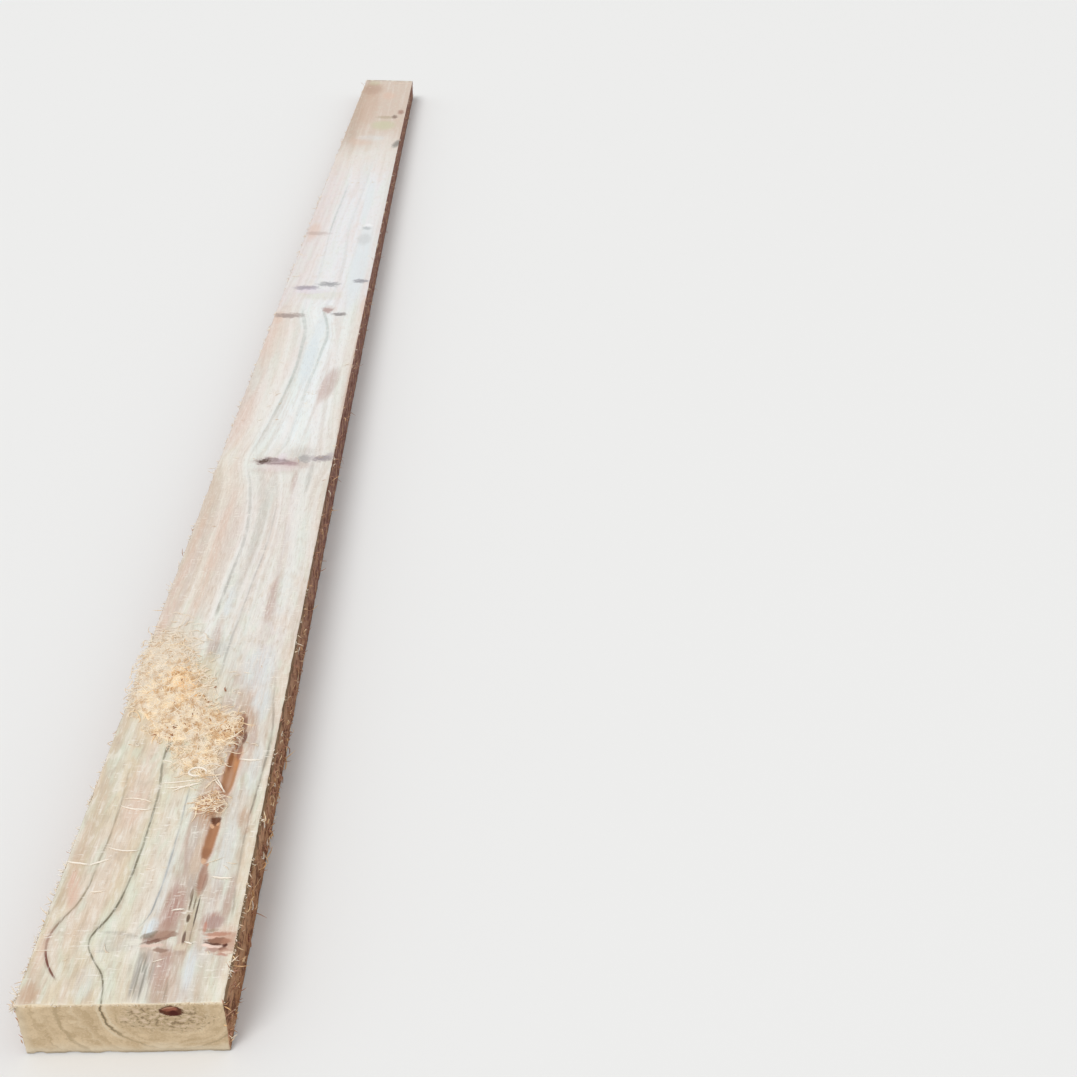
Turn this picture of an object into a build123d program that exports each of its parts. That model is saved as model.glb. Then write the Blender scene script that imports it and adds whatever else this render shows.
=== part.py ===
from build123d import *

import os
from math import sqrt

# A softwood plank as it comes off the saw, lying flat, in millimetres.
# X runs across the plank, Y along it and Z up. The origin is under the middle of the plank, on
# the surface that it lies on. The near end faces -Y.

# Sawn size
length = 3600
width = 150
thickness = 55

# How far the saw and the drying timber leave it from a true box
crook = 3.5
near_cut_skew = 1.5
far_cut_skew = 2.5
arris_width = 1.2

# The pith, the soft heart of the tree, runs just under the top face and breaks out of it. Each
# turn is against the clock, in degrees, as seen from above.
pith_offset = 36
pith_depth = 8.5

heart_start = 128
heart_offset = 39
heart_turn = -2.4
heart_length = 190
heart_width = 11
heart_depth = 3.5

tail_start = 82
tail_offset = 37
tail_turn = -1.5
tail_length = 66
tail_width = 5
tail_depth = 2

pith_spot_width = 14
pith_spot_height = 9
pith_spot_depth = 2.5

# Hollows that the saw tore out of the knots: distance from the near end, offset from the middle
# of the plank, length across the grain, width along it and depth
near_knot_from_end = 62
near_knot_offset = 15.5
near_knot_length = 24
near_knot_width = 6
near_knot_depth = 2

edge_knot_from_end = 56
edge_knot_offset = 62
edge_knot_length = 21
edge_knot_width = 7
edge_knot_depth = 2.5

long_knot_from_end = 858
long_knot_offset = -1.5
long_knot_length = 46
long_knot_width = 10
long_knot_depth = 2

# What is trimmed off each end of the sawn blank
trim = 20

# How far up to its turning axis each end of a hollow's cutter reaches
cutter_run_out = 0.8

# Worked out from the sizes above: the ends, and the two sides where they meet the ends
near_end = -length / 2
far_end = length / 2
left_side = (crook - width) / 2
right_side = (crook + width) / 2


def crook_at(y):
    """How far the plank has bowed towards -X at this distance along it."""
    return crook * (1 - (y / far_end) ** 2)


def sawn_edge(side):
    """The bowed edge of the blank, seen from above, that meets the plank's ends at this X."""
    stops = (near_end - trim, 0, far_end + trim)
    return [(side - crook_at(y), y) for y in stops]


def on_top(from_end, offset, turn=0):
    """A plane in the top face, that far from the near end and from the middle of the plank."""
    y = near_end + from_end
    middle = crook / 2 - crook_at(y)
    return Plane(origin=(middle + offset, y, thickness)).rotated((0, 0, turn))


def hollow(surface, long_way, wide_way, deep):
    """A boat-shaped hollow, cut into the surface plane, that runs out to a point at both ends.

    Its lengthwise and crosswise sections are both arcs of a circle.
    """
    cross_radius = (wide_way**2 / 4 + deep**2) / (2 * deep)
    long_radius = (long_way**2 / 4 + deep**2) / (2 * deep)
    axis_height = cross_radius - deep
    end_height = cutter_run_out * axis_height
    half_run = sqrt(long_radius**2 - (long_radius - cross_radius + end_height) ** 2)
    with BuildPart(mode=Mode.PRIVATE) as boat:
        with BuildSketch(Plane.YZ):
            with BuildLine():
                keel = ThreePointArc(
                    (-half_run, axis_height - end_height),
                    (0, -deep),
                    (half_run, axis_height - end_height),
                )
                Polyline(keel @ 1, (half_run, axis_height), (-half_run, axis_height), keel @ 0)
            make_face()
        revolve(axis=Axis((0, 0, axis_height), (0, 1, 0)))
    return boat.part.moved(surface.location)


with BuildPart() as plank:
    with BuildSketch():
        with BuildLine():
            left_edge = ThreePointArc(*sawn_edge(left_side))
            right_edge = ThreePointArc(*sawn_edge(right_side))
            Line(left_edge @ 0, right_edge @ 0)
            Line(left_edge @ 1, right_edge @ 1)
        make_face()
    extrude(amount=thickness)
    chamfer(plank.edges().filter_by(lambda e: e.length > length), arris_width)

    near_cut = Plane(origin=(right_side, near_end), z_dir=(near_cut_skew, width, 0))
    far_cut = Plane(origin=(left_side, far_end), z_dir=(-far_cut_skew, -width, 0))
    split(bisect_by=near_cut, keep=Keep.TOP)
    split(bisect_by=far_cut, keep=Keep.TOP)

    pith_spot_place = Plane(
        origin=(
            crook / 2 + pith_offset,
            near_end + near_cut_skew * (width / 2 - pith_offset) / width,
            thickness - pith_depth,
        ),
        x_dir=(0, 0, 1),
        z_dir=-near_cut.z_dir,
    )
    hollows = [
        hollow(
            on_top(heart_start + heart_length / 2, heart_offset, heart_turn),
            heart_length,
            heart_width,
            heart_depth,
        ),
        hollow(
            on_top(tail_start + tail_length / 2, tail_offset, tail_turn),
            tail_length,
            tail_width,
            tail_depth,
        ),
        hollow(
            on_top(near_knot_from_end, near_knot_offset, 90),
            near_knot_length,
            near_knot_width,
            near_knot_depth,
        ),
        hollow(
            on_top(edge_knot_from_end, edge_knot_offset, 90),
            edge_knot_length,
            edge_knot_width,
            edge_knot_depth,
        ),
        hollow(
            on_top(long_knot_from_end, long_knot_offset, 90),
            long_knot_length,
            long_knot_width,
            long_knot_depth,
        ),
        hollow(pith_spot_place, pith_spot_width, pith_spot_height, pith_spot_depth),
    ]
    add(hollows, mode=Mode.SUBTRACT)

plank.part.label = "plank"
os.makedirs("parts", exist_ok=True)
export_step(plank.part, "parts/plank.step")
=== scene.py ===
"""A rough-sawn softwood plank: its worn and coloured surfaces, the shavings on it, floor and light."""
import logging
import math
from dataclasses import dataclass, field, replace
from enum import Enum
from typing import Any

import bpy
import numpy as np
from mathutils import Matrix, Vector


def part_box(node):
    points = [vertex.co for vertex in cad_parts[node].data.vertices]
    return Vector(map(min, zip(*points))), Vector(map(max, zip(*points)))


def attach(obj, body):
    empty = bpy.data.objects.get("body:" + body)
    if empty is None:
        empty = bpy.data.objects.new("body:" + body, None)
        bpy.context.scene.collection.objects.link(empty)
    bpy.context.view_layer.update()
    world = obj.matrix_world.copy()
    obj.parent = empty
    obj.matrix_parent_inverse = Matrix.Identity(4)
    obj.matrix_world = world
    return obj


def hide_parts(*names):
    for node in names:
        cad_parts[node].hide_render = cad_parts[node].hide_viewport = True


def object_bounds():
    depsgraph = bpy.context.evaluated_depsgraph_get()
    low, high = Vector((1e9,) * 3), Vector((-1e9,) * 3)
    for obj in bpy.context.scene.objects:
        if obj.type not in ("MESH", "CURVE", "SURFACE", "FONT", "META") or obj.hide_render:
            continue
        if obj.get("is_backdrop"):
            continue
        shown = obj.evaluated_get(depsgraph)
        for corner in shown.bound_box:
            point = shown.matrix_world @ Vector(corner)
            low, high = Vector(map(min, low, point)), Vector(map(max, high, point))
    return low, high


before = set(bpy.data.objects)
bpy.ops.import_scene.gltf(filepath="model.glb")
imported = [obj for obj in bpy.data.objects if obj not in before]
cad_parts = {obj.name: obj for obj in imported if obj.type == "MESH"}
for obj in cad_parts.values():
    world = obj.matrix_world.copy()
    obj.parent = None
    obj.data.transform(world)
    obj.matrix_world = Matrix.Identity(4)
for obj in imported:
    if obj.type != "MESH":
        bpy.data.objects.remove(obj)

LOG = logging.getLogger("plank")
Array = np.ndarray
Rgb = tuple[int, int, int]
Span = tuple[float, float]
Cell = tuple[float, float, float]

MM = 0.001
IMAGE_SIDE = 1077
SENSOR_WIDTH = 36.0
BODY = "root"
NODE = "plank"
PITH_BLEND = (0.42, 0.58)


def linear(colour: Rgb) -> tuple[float, float, float, float]:
    """Turn a display colour into the linear one that shaders take.

    Args:
        colour: Red, green and blue from 0 to 255, as they look on a screen.

    Returns:
        Linear red, green and blue with an alpha of 1.
    """
    shares = [c / 255 for c in colour]
    parts = [s / 12.92 if s <= 0.04045 else ((s + 0.055) / 1.055) ** 2.4 for s in shares]
    return (*parts, 1.0)


def smooth(low: float, high: float, x: Array) -> Array:
    """Rise from 0 at low to 1 at high along 3t^2 - 2t^3.

    Args:
        low: Where the rise starts. It may be the larger of the two, for a fall.
        high: Where it ends.
        x: Values to map.

    Returns:
        An array of the shape of x.
    """
    t = np.clip((x - low) / (high - low), 0, 1)
    return t * t * (3 - 2 * t)


@dataclass(frozen=True)
class Noise:
    """Smooth random values on a lattice of 32 steps each way, which repeats."""

    seed: int
    steps: int = 32

    def at(self, points: Array, cell: Cell) -> Array:
        """Look up the noise: values at the lattice corners, eased by 3t^2 - 2t^3 in between.

        Args:
            points: Positions, with their three coordinates last.
            cell: Lattice step along each axis, in the same unit.

        Returns:
            Values from -1 to 1.
        """
        lattice = np.random.default_rng(self.seed).uniform(-1, 1, (self.steps,) * 3)
        scaled = points / np.array(cell)
        base = np.floor(scaled).astype(int)
        t = scaled - base
        t = t * t * (3 - 2 * t)
        total = np.zeros(points.shape[:-1])
        for corner in np.ndindex(2, 2, 2):
            step = np.array(corner)
            weight = np.prod(np.where(step, t, 1 - t), axis=-1)
            i, j, k = np.moveaxis((base + step) % self.steps, -1, 0)
            total += weight * lattice[i, j, k]
        return total


@dataclass(frozen=True)
class Path:
    """A smooth line along the plank: where it lies across the face at each distance.

    stops are (distance from the near end, offset to the right of the middle), in millimetres.
    """

    stops: tuple[tuple[float, float], ...]

    def at(self, along: Array) -> Array:
        """Follow the stops with cubic pieces whose slopes are the mean slopes at each stop.

        Args:
            along: Distances from the near end, in millimetres.

        Returns:
            Offsets in millimetres.
        """
        y, x = np.array(self.stops, float).T
        slope = np.gradient(x, y)
        i = np.clip(np.searchsorted(y, along) - 1, 0, len(y) - 2)
        run = y[i + 1] - y[i]
        t = np.clip((along - y[i]) / run, 0, 1)
        rise = x[i] * (2 * t**3 - 3 * t**2 + 1) + x[i + 1] * (3 * t**2 - 2 * t**3)
        lean = slope[i] * (t**3 - 2 * t**2 + t) + slope[i + 1] * (t**3 - t**2)
        return rise + lean * run


@dataclass(frozen=True)
class Heartwood:
    """The tree inside the plank: its pith, and the growth rings that show as lines.

    Each ring has a name and an age, which is how far it lies from the pith in straight wood, in
    millimetres. The first ring shows on both sides of the pith. Branches push the rings outwards.
    """

    pith: Path = Path((
        (0, 36), (54, 36), (96, 35.3), (137, 37.5), (278, 38.5), (400, 40), (520, 38), (640, 34),
        (780, 28), (860, 27), (1000, 33), (1200, 38), (1400, 22), (1600, 26), (2200, 32), (3600, 24),
    ))
    pith_height: Path = Path(((0, -8.5), (40, -6), (62, -1.5), (330, -1.5), (600, -4), (3600, -9)))
    first_left: Path = Path((
        (0, 12), (25, 8), (40, 1), (55, -7), (66, -5), (76, 1), (84, 4), (99, 5.5), (156, 6.5),
        (210, 6.5), (384, 4.5), (460, 6), (503, 8), (567, 11), (621, 14.5), (680, 15.5), (740, 13),
        (800, 5), (860, -8), (908, 3), (971, 6), (1103, 9), (1168, 13), (1249, 17), (1337, 20),
        (1400, 8), (1430, 2), (1500, 10), (1700, 13), (1900, 4), (2200, 12), (3600, 4),
    ))
    first_right: Path = Path((
        (0, 60), (40, 63), (56, 74), (70, 69), (90, 67), (141, 65), (209, 65.5), (237, 66.5),
        (300, 68), (360, 62), (600, 64), (800, 60), (860, 70), (950, 62), (1400, 62), (3600, 60),
    ))
    second_left: Path = Path((
        (0, -12.5), (28, -19.5), (42, -29), (51, -34), (60, -35.5), (71, -32), (79, -28),
        (89, -24.5), (105, -21.5), (123, -20), (192, -18.5), (230, -20), (254, -23), (273, -24),
        (290, -22.5), (400, -20), (494, -18), (573, -15.5), (655, -12.5), (690, -14), (740, -19),
        (790, -27), (860, -40), (920, -34), (1000, -26), (1110, -17.5), (1187, -15), (1270, -16.5),
        (1336, -19), (1415, -32), (1600, -27), (1933, -33), (2248, -28), (2700, -32), (3600, -28),
    ))
    third_left: Path = Path((
        (0, -46), (22, -50), (30, -56), (38, -61), (50, -65.5), (60, -67), (72, -65), (82, -61),
        (95, -54.5), (110, -51.5), (148, -49), (208, -48), (250, -51), (317, -56), (400, -56),
        (500, -52), (650, -50), (800, -58), (860, -68), (920, -60), (1100, -50), (1400, -64),
        (1600, -55), (3600, -58),
    ))
    first_age: float = 28
    second_age: float = 54
    third_age: float = 84
    oval: float = 1.16

    def ages(self, across: Array, along: Array, height: Array) -> tuple[Array, Array]:
        """Work out which growth ring each point lies in.

        The distance from the pith, with depth stretched a little because the rings are oval, is
        read against the rings' own distances: to the left, to the right, and mixed in between by
        the angle about the pith.

        Args:
            across: Offset to the right of the middle, in millimetres.
            along: Distance from the near end.
            height: Height above the top face, so mostly negative.

        Returns:
            The age of the wood at each point, and the share of right-hand side from 0 to 1.
        """
        pith = self.pith.at(along)
        dx, dz = across - pith, (height - self.pith_height.at(along)) * self.oval
        away = np.hypot(dx, dz)
        lefts = [pith - p.at(along) for p in (self.first_left, self.second_left, self.third_left)]
        ages = [self.first_age, self.second_age, self.third_age]
        left = away * ages[0] / lefts[0]
        for near, far, young, old in zip(lefts, lefts[1:], ages, ages[1:]):
            left = np.where(away > near, young + (away - near) * (old - young) / (far - near), left)
        left = np.where(away > lefts[-1], ages[-1] + away - lefts[-1], left)
        right_gap = self.first_right.at(along) - pith
        right = np.where(
            away < right_gap,
            away * self.first_age / right_gap,
            self.first_age + away - right_gap,
        )
        share = 0.5 + 0.5 * dx / np.maximum(away, 1e-6)
        return left * (1 - share) + right * share, share


@dataclass(frozen=True)
class Hollow:
    """A boat-shaped hollow, the same as the solid's, in millimetres.

    Its long way runs along the plank, turned against the clock by turn degrees.
    """

    from_end: float
    offset: float
    long_way: float
    wide_way: float
    depth: float
    turn: float = 0.0

    def at(self, across: Array, along: Array) -> Array:
        """Depth of the hollow: an arc along its long way, and an arc across it.

        Args:
            across: Offset to the right of the middle.
            along: Distance from the near end.

        Returns:
            Depths in millimetres, 0 outside the hollow.
        """
        cos, sin = math.cos(math.radians(self.turn)), math.sin(math.radians(self.turn))
        u, v = across - self.offset, along - self.from_end
        u, v = u * cos + v * sin, v * cos - u * sin
        wide_radius = (self.wide_way**2 / 4 + self.depth**2) / (2 * self.depth)
        long_radius = (self.long_way**2 / 4 + self.depth**2) / (2 * self.depth)
        keel = self.depth - long_radius + np.sqrt(np.maximum(long_radius**2 - v**2, 0))
        radius = wide_radius - self.depth + keel
        floor = np.sqrt(np.maximum(radius**2 - u**2, 0)) - (wide_radius - self.depth)
        return np.where(radius > 0, np.maximum(floor, 0), 0)


def add_mesh(name: str, points: Array, faces: list[Array], smooth_faces: bool = True) -> bpy.types.Object:
    """Make a mesh object at the origin from whole arrays.

    Args:
        name: Name of the object and of its mesh.
        points: Vertices in metres, three columns.
        faces: Arrays of vertex numbers, each with three or four columns.
        smooth_faces: Whether faces are shaded smooth.

    Returns:
        The new object, linked to the scene.
    """
    loops = np.concatenate([f.ravel() for f in faces])
    sizes = np.concatenate([np.full(len(f), f.shape[1]) for f in faces])
    mesh = bpy.data.meshes.new(name)
    mesh.vertices.add(len(points))
    mesh.vertices.foreach_set("co", points.astype(np.float32).ravel())
    mesh.loops.add(len(loops))
    mesh.loops.foreach_set("vertex_index", loops.astype(np.int32))
    mesh.polygons.add(len(sizes))
    starts = np.concatenate([[0], np.cumsum(sizes)[:-1]])
    mesh.polygons.foreach_set("loop_start", starts.astype(np.int32))
    mesh.polygons.foreach_set("use_smooth", np.full(len(sizes), smooth_faces))
    mesh.update(calc_edges=True)
    mesh.validate()
    obj = bpy.data.objects.new(name, mesh)
    bpy.context.scene.collection.objects.link(obj)
    return obj


def quads(sheet: Array) -> Array:
    """Join the corners of each cell of a sheet of vertex numbers."""
    corners = (sheet[:-1, :-1], sheet[1:, :-1], sheet[1:, 1:], sheet[:-1, 1:])
    return np.stack([c.ravel() for c in corners], 1)


def add_attribute(obj: bpy.types.Object, name: str, values: Array) -> None:
    """Store one number for each vertex, for the material to read.

    Args:
        obj: The mesh object.
        name: Name of the attribute.
        values: One value for each vertex.
    """
    layer = obj.data.attributes.new(name, "FLOAT", "POINT")
    layer.data.foreach_set("value", values.astype(np.float32))


class Signal:
    """A shader socket that takes part in Python expressions."""

    def __init__(self, graph: "Graph", socket: bpy.types.NodeSocket) -> None:
        """Wrap a socket of a graph."""
        self.graph = graph
        self.socket = socket

    def __add__(self, other: Any) -> "Signal":
        """Sum."""
        return self.graph.math("ADD", self, other)

    def __radd__(self, other: Any) -> "Signal":
        """Sum with a number on the left."""
        return self.graph.math("ADD", other, self)

    def __sub__(self, other: Any) -> "Signal":
        """Difference."""
        return self.graph.math("SUBTRACT", self, other)

    def __rsub__(self, other: Any) -> "Signal":
        """Difference with a number on the left."""
        return self.graph.math("SUBTRACT", other, self)

    def __mul__(self, other: Any) -> "Signal":
        """Product."""
        return self.graph.math("MULTIPLY", self, other)

    def __rmul__(self, other: Any) -> "Signal":
        """Product with a number on the left."""
        return self.graph.math("MULTIPLY", other, self)

    def __truediv__(self, other: Any) -> "Signal":
        """Quotient."""
        return self.graph.math("DIVIDE", self, other)

    def __abs__(self) -> "Signal":
        """Size without sign."""
        return self.graph.math("ABSOLUTE", self)


class Graph:
    """The node tree of one material, with a Principled shader at its end."""

    def __init__(self, name: str) -> None:
        """Make the material with its output and its Principled shader.

        Args:
            name: Name of the material.
        """
        self.material = bpy.data.materials.new(name)
        self.material.use_nodes = True
        self.tree = self.material.node_tree
        self.tree.nodes.clear()
        self.shader = self.tree.nodes.new("ShaderNodeBsdfPrincipled")
        output = self.tree.nodes.new("ShaderNodeOutputMaterial")
        self.tree.links.new(self.shader.outputs["BSDF"], output.inputs["Surface"])

    def feed(self, socket: bpy.types.NodeSocket, value: Any) -> None:
        """Link a signal to a socket, or set the socket to a number, colour or vector.

        Args:
            socket: The input to feed.
            value: A Signal, or what the socket's default_value takes.
        """
        if isinstance(value, Signal):
            self.tree.links.new(value.socket, socket)
        else:
            socket.default_value = value

    def node(self, kind: str, settings: dict[str, Any], values: dict[Any, Any]) -> bpy.types.Node:
        """Add a node, set it up and feed its inputs.

        Args:
            kind: The node's type, without the ShaderNode in front.
            settings: Properties of the node, set first. A ramp's stops come as "stops".
            values: Input name or number to Signal or plain value.

        Returns:
            The new node.
        """
        made = self.tree.nodes.new("ShaderNode" + kind)
        for key, setting in settings.items():
            if key == "stops":
                self._set_stops(made.color_ramp, setting)
            else:
                setattr(made, key, setting)
        for key, value in values.items():
            self.feed(made.inputs[key], value)
        return made

    @staticmethod
    def _set_stops(ramp: bpy.types.ColorRamp, stops: list[tuple[float, Rgb]]) -> None:
        """Give a ramp its stops.

        Args:
            ramp: The ramp.
            stops: Places from 0 to 1, each with a display colour.
        """
        while len(ramp.elements) < len(stops):
            ramp.elements.new(0.5)
        for element, (place, colour) in zip(ramp.elements, stops):
            element.position = place
            element.color = linear(colour)

    def math(self, operation: str, *values: Any) -> Signal:
        """Add a Math node.

        Args:
            operation: Its operation.
            values: One to three signals or numbers.

        Returns:
            Its result.
        """
        made = self.node("Math", {"operation": operation}, dict(enumerate(values)))
        return Signal(self, made.outputs[0])

    def vector(self, x: Any, y: Any, z: Any) -> Signal:
        """Combine three signals or numbers into a vector."""
        made = self.node("CombineXYZ", {}, {"X": x, "Y": y, "Z": z})
        return Signal(self, made.outputs[0])

    def place(self) -> tuple[Signal, Signal, Signal]:
        """Read the Object coordinates.

        Returns:
            X, Y and Z in millimetres.
        """
        x, y, z = self._split(self.node("TexCoord", {}, {}).outputs["Object"])
        return x / MM, y / MM, z / MM

    def normal(self) -> tuple[Signal, Signal, Signal]:
        """Read the X, Y and Z of the direction that the surface faces in."""
        return self._split(self.node("NewGeometry", {}, {}).outputs["Normal"])

    def _split(self, vector: bpy.types.NodeSocket) -> tuple[Signal, Signal, Signal]:
        """Take a vector socket apart into X, Y and Z."""
        parts = self.node("SeparateXYZ", {}, {0: Signal(self, vector)})
        return tuple(Signal(self, parts.outputs[axis]) for axis in "XYZ")

    def attribute(self, name: str) -> Signal:
        """Read a number stored on the mesh."""
        made = self.node("Attribute", {"attribute_name": name}, {})
        return Signal(self, made.outputs["Fac"])

    def noise(self, where: Signal, detail: float = 2.0, roughness: float = 0.5) -> Signal:
        """Add 3-D noise from 0 to 1.

        Args:
            where: The vector that it is read at, already scaled.
            detail: Number of finer layers.
            roughness: Strength of the finer layers.

        Returns:
            The noise.
        """
        values = {"Vector": where, "Scale": 1.0, "Detail": detail, "Roughness": roughness}
        made = self.node("TexNoise", {"noise_dimensions": "3D"}, values)
        return Signal(self, made.outputs["Fac"])

    def _ease(self, value: Signal, low: float, high: float, start: float, stop: float) -> Signal:
        """Ease from one number to another as a value grows.

        Args:
            value: The value that is followed.
            low: Value where the easing begins.
            high: Value where it ends.
            start: Result at low and below it.
            stop: Result at high and above it.

        Returns:
            The eased number.
        """
        settings = {"interpolation_type": "SMOOTHSTEP", "clamp": True}
        values = {"Value": value, "From Min": low, "From Max": high, "To Min": start, "To Max": stop}
        return Signal(self, self.node("MapRange", settings, values).outputs["Result"])

    def rise(self, value: Signal, low: float, high: float, top: float = 1.0) -> Signal:
        """Ease from 0 at low to the top at high, and stay there."""
        return self._ease(value, low, high, 0.0, top)

    def fall(self, value: Signal, low: float, high: float, top: float = 1.0) -> Signal:
        """Ease from the top at low to 0 at high, and stay there."""
        return self._ease(value, low, high, top, 0.0)

    def ramp(self, value: Signal, stops: list[tuple[float, Rgb]]) -> Signal:
        """Turn a number from 0 to 1 into a colour."""
        made = self.node("ValToRGB", {"stops": stops}, {"Fac": value})
        return Signal(self, made.outputs["Color"])

    def mix(self, factor: Any, first: Any, second: Any) -> Signal:
        """Mix two colours.

        Args:
            factor: Share of the second colour.
            first: A Signal or a display colour.
            second: A Signal or a display colour.

        Returns:
            The mixed colour.
        """
        first, second = (linear(c) if isinstance(c, tuple) else c for c in (first, second))
        settings = {"data_type": "RGBA", "clamp_factor": True}
        made = self.node("Mix", settings, {"Factor": factor, 6: first, 7: second})
        return Signal(self, made.outputs[2])

    def bump(self, height: Signal, strength: float, distance: float) -> Signal:
        """Turn a height into a normal.

        Args:
            height: Height from 0 to 1.
            strength: Strength of the effect.
            distance: Height of 1 in metres.

        Returns:
            The bent normal.
        """
        values = {"Strength": strength, "Distance": distance, "Height": height}
        return Signal(self, self.node("Bump", {}, values).outputs["Normal"])

    def close(self, colour: Signal, roughness: float, specular: float) -> bpy.types.Material:
        """Feed the Principled shader.

        Args:
            colour: Base colour.
            roughness: Roughness, the same all over.
            specular: Specular level, the same all over.

        Returns:
            The finished material.
        """
        self.feed(self.shader.inputs["Base Color"], colour)
        self.feed(self.shader.inputs["Roughness"], roughness)
        self.feed(self.shader.inputs["Specular IOR Level"], specular)
        return self.material


@dataclass
class Blank:
    """The sawn blank that everything lies on, in millimetres.

    A place on it is (offset, distance, height): to the right of the straight line between the
    middles of its ends, from the near end, and above the floor.
    """

    crook: float = 3.5
    near_skew: float = 1.5
    far_skew: float = 2.5

    def __post_init__(self) -> None:
        """Take the sizes of the plank from the frame."""
        low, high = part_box(NODE)
        self.length = (high.y - low.y) / MM
        self.top = high.z / MM
        self.width = (high.x - low.x) / MM - self.crook

    def bow(self, along: Array) -> Array:
        """How far the sides lie to the left of their straight line, by a parabola."""
        t = along / self.length
        return self.crook * 4 * t * (1 - t)

    def world(self, places: Array) -> Array:
        """Turn places on the blank into metres in the frame."""
        return (places + (self.crook / 2, -self.length / 2, 0)) * MM


@dataclass(frozen=True)
class Oval:
    """An oval on the top face, in millimetres.

    Its middle is at (along, across), its half sizes are reach and spread, and turn is how far it
    is turned against the clock as seen from above, in degrees. Its ends lie further along than
    its middle by bend reaches. A blunt one has nearly square ends.
    """

    along: float
    across: float
    reach: float
    spread: float
    turn: float = field(default=0.0, kw_only=True)
    bend: float = field(default=0.0, kw_only=True)
    blunt: bool = field(default=False, kw_only=True)

    def measure(self, across: Any, along: Any) -> Any:
        """Measure from the middle, 1 at the border: (u/reach)^2 + (v/spread)^2, or with ^4 if blunt.

        Args:
            across: Offsets, as an array or a signal.
            along: Distances from the near end.

        Returns:
            The squared distance, of the same kind.
        """
        cos, sin = math.cos(math.radians(self.turn)), math.sin(math.radians(self.turn))
        u, v = along - self.along, across - self.across
        p, q = u * (cos / self.reach), v * (cos / self.spread)
        if self.turn:
            p, q = p - v * (sin / self.reach), q + u * (sin / self.spread)
        if self.bend:
            p = p - q * q * self.bend
        p = p * p
        return (p * p if self.blunt else p) + q * q


@dataclass(frozen=True)
class Patch(Oval):
    """An oval patch of another colour."""

    strength: float = 1.0
    colour: Rgb = (0, 0, 0)


class Tint(Enum):
    """Soft tints of the wood, with their display colours."""

    MAUVE = (186, 150, 138)
    PINK = (226, 192, 172)
    ICE = (225, 233, 236)
    SLATE = (164, 158, 152)
    UMBER = (194, 152, 122)
    MOSS = (206, 204, 172)
    DUST = (229, 212, 186)


@dataclass(frozen=True)
class Wash:
    """A colour that comes in as some value passes from start, where there is none, to full.

    The value may grow or shrink on the way. The strength is how much of it there is at full.
    """

    start: float
    full: float
    strength: float
    colour: Rgb

    def amount(self, graph: Graph, value: Signal) -> Signal:
        """Work out how much of the wash there is.

        Args:
            graph: The material to build in.
            value: The value that it follows.

        Returns:
            A share from 0 to the strength.
        """
        if self.full > self.start:
            return graph.rise(value, self.start, self.full, self.strength)
        return graph.fall(value, self.full, self.start, self.strength)


@dataclass
class Coat:
    """The colour of the wood as it is built up, layer by layer, and where each point of it lies.

    x is the offset to the right of the middle, along the distance from the near end and z the
    height above the top face, in millimetres. The age is that of the growth ring, and the share is
    that of right-hand side.
    """

    graph: Graph
    x: Signal
    along: Signal
    z: Signal
    age: Signal
    share: Signal
    colour: Any = (0, 0, 0)

    def lay(self, amount: Signal, colour: Any) -> None:
        """Lay a colour over the coat, by an amount from 0 to 1."""
        self.colour = self.graph.mix(amount, self.colour, colour)

    def wash(self, value: Signal, *washes: Wash, weight: Signal | None = None) -> None:
        """Lay washes over the coat.

        Args:
            value: The value that they follow.
            washes: The washes, in the order in which they are laid.
            weight: Share of their strength that is kept at each point. Left out, all of it is.
        """
        for wash in washes:
            amount = wash.amount(self.graph, value)
            self.lay(amount if weight is None else amount * weight, wash.colour)

    def noise(self, cell: Cell, detail: float, roughness: float) -> Signal:
        """Add noise whose patches are stretched along the axes.

        Args:
            cell: Size of a patch along x, along the plank and along z.
            detail: Number of finer layers.
            roughness: Strength of the finer layers.

        Returns:
            The noise, from 0 to 1.
        """
        where = self.graph.vector(self.x / cell[0], self.along / cell[1], self.z / cell[2])
        return self.graph.noise(where, detail, roughness)


@dataclass(frozen=True)
class Lanes:
    """Colours of the wood by ring age, to the left and to the right of the pith."""

    left: tuple[tuple[float, Rgb], ...]
    right: tuple[tuple[float, Rgb], ...]
    oldest: float = 120.0

    def paint(self, graph: Graph, age: Signal, share: Signal) -> Signal:
        """Turn ages into colours.

        Args:
            graph: The material to build in.
            age: Ring age.
            share: Share of right-hand side.

        Returns:
            The colour.
        """
        sides = [
            graph.ramp(age / self.oldest, [(a / self.oldest, c) for a, c in stops])
            for stops in (self.left, self.right)
        ]
        return graph.mix(graph.rise(share, *PITH_BLEND), *sides)


@dataclass(frozen=True)
class RingLine:
    """A growth ring that shows as a thin dark line on one side of the pith.

    stops are (distance from the near end, strength).
    """

    age: float
    on_right: bool
    width: float
    colour: Rgb
    stops: tuple[tuple[float, float], ...]

    def strength(self, along: Array, share: Array) -> Array:
        """Strength of the line at each point, from its stops and its side of the pith."""
        side = smooth(*PITH_BLEND, share)
        return np.interp(along, *zip(*self.stops)) * (side if self.on_right else 1 - side)


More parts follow.
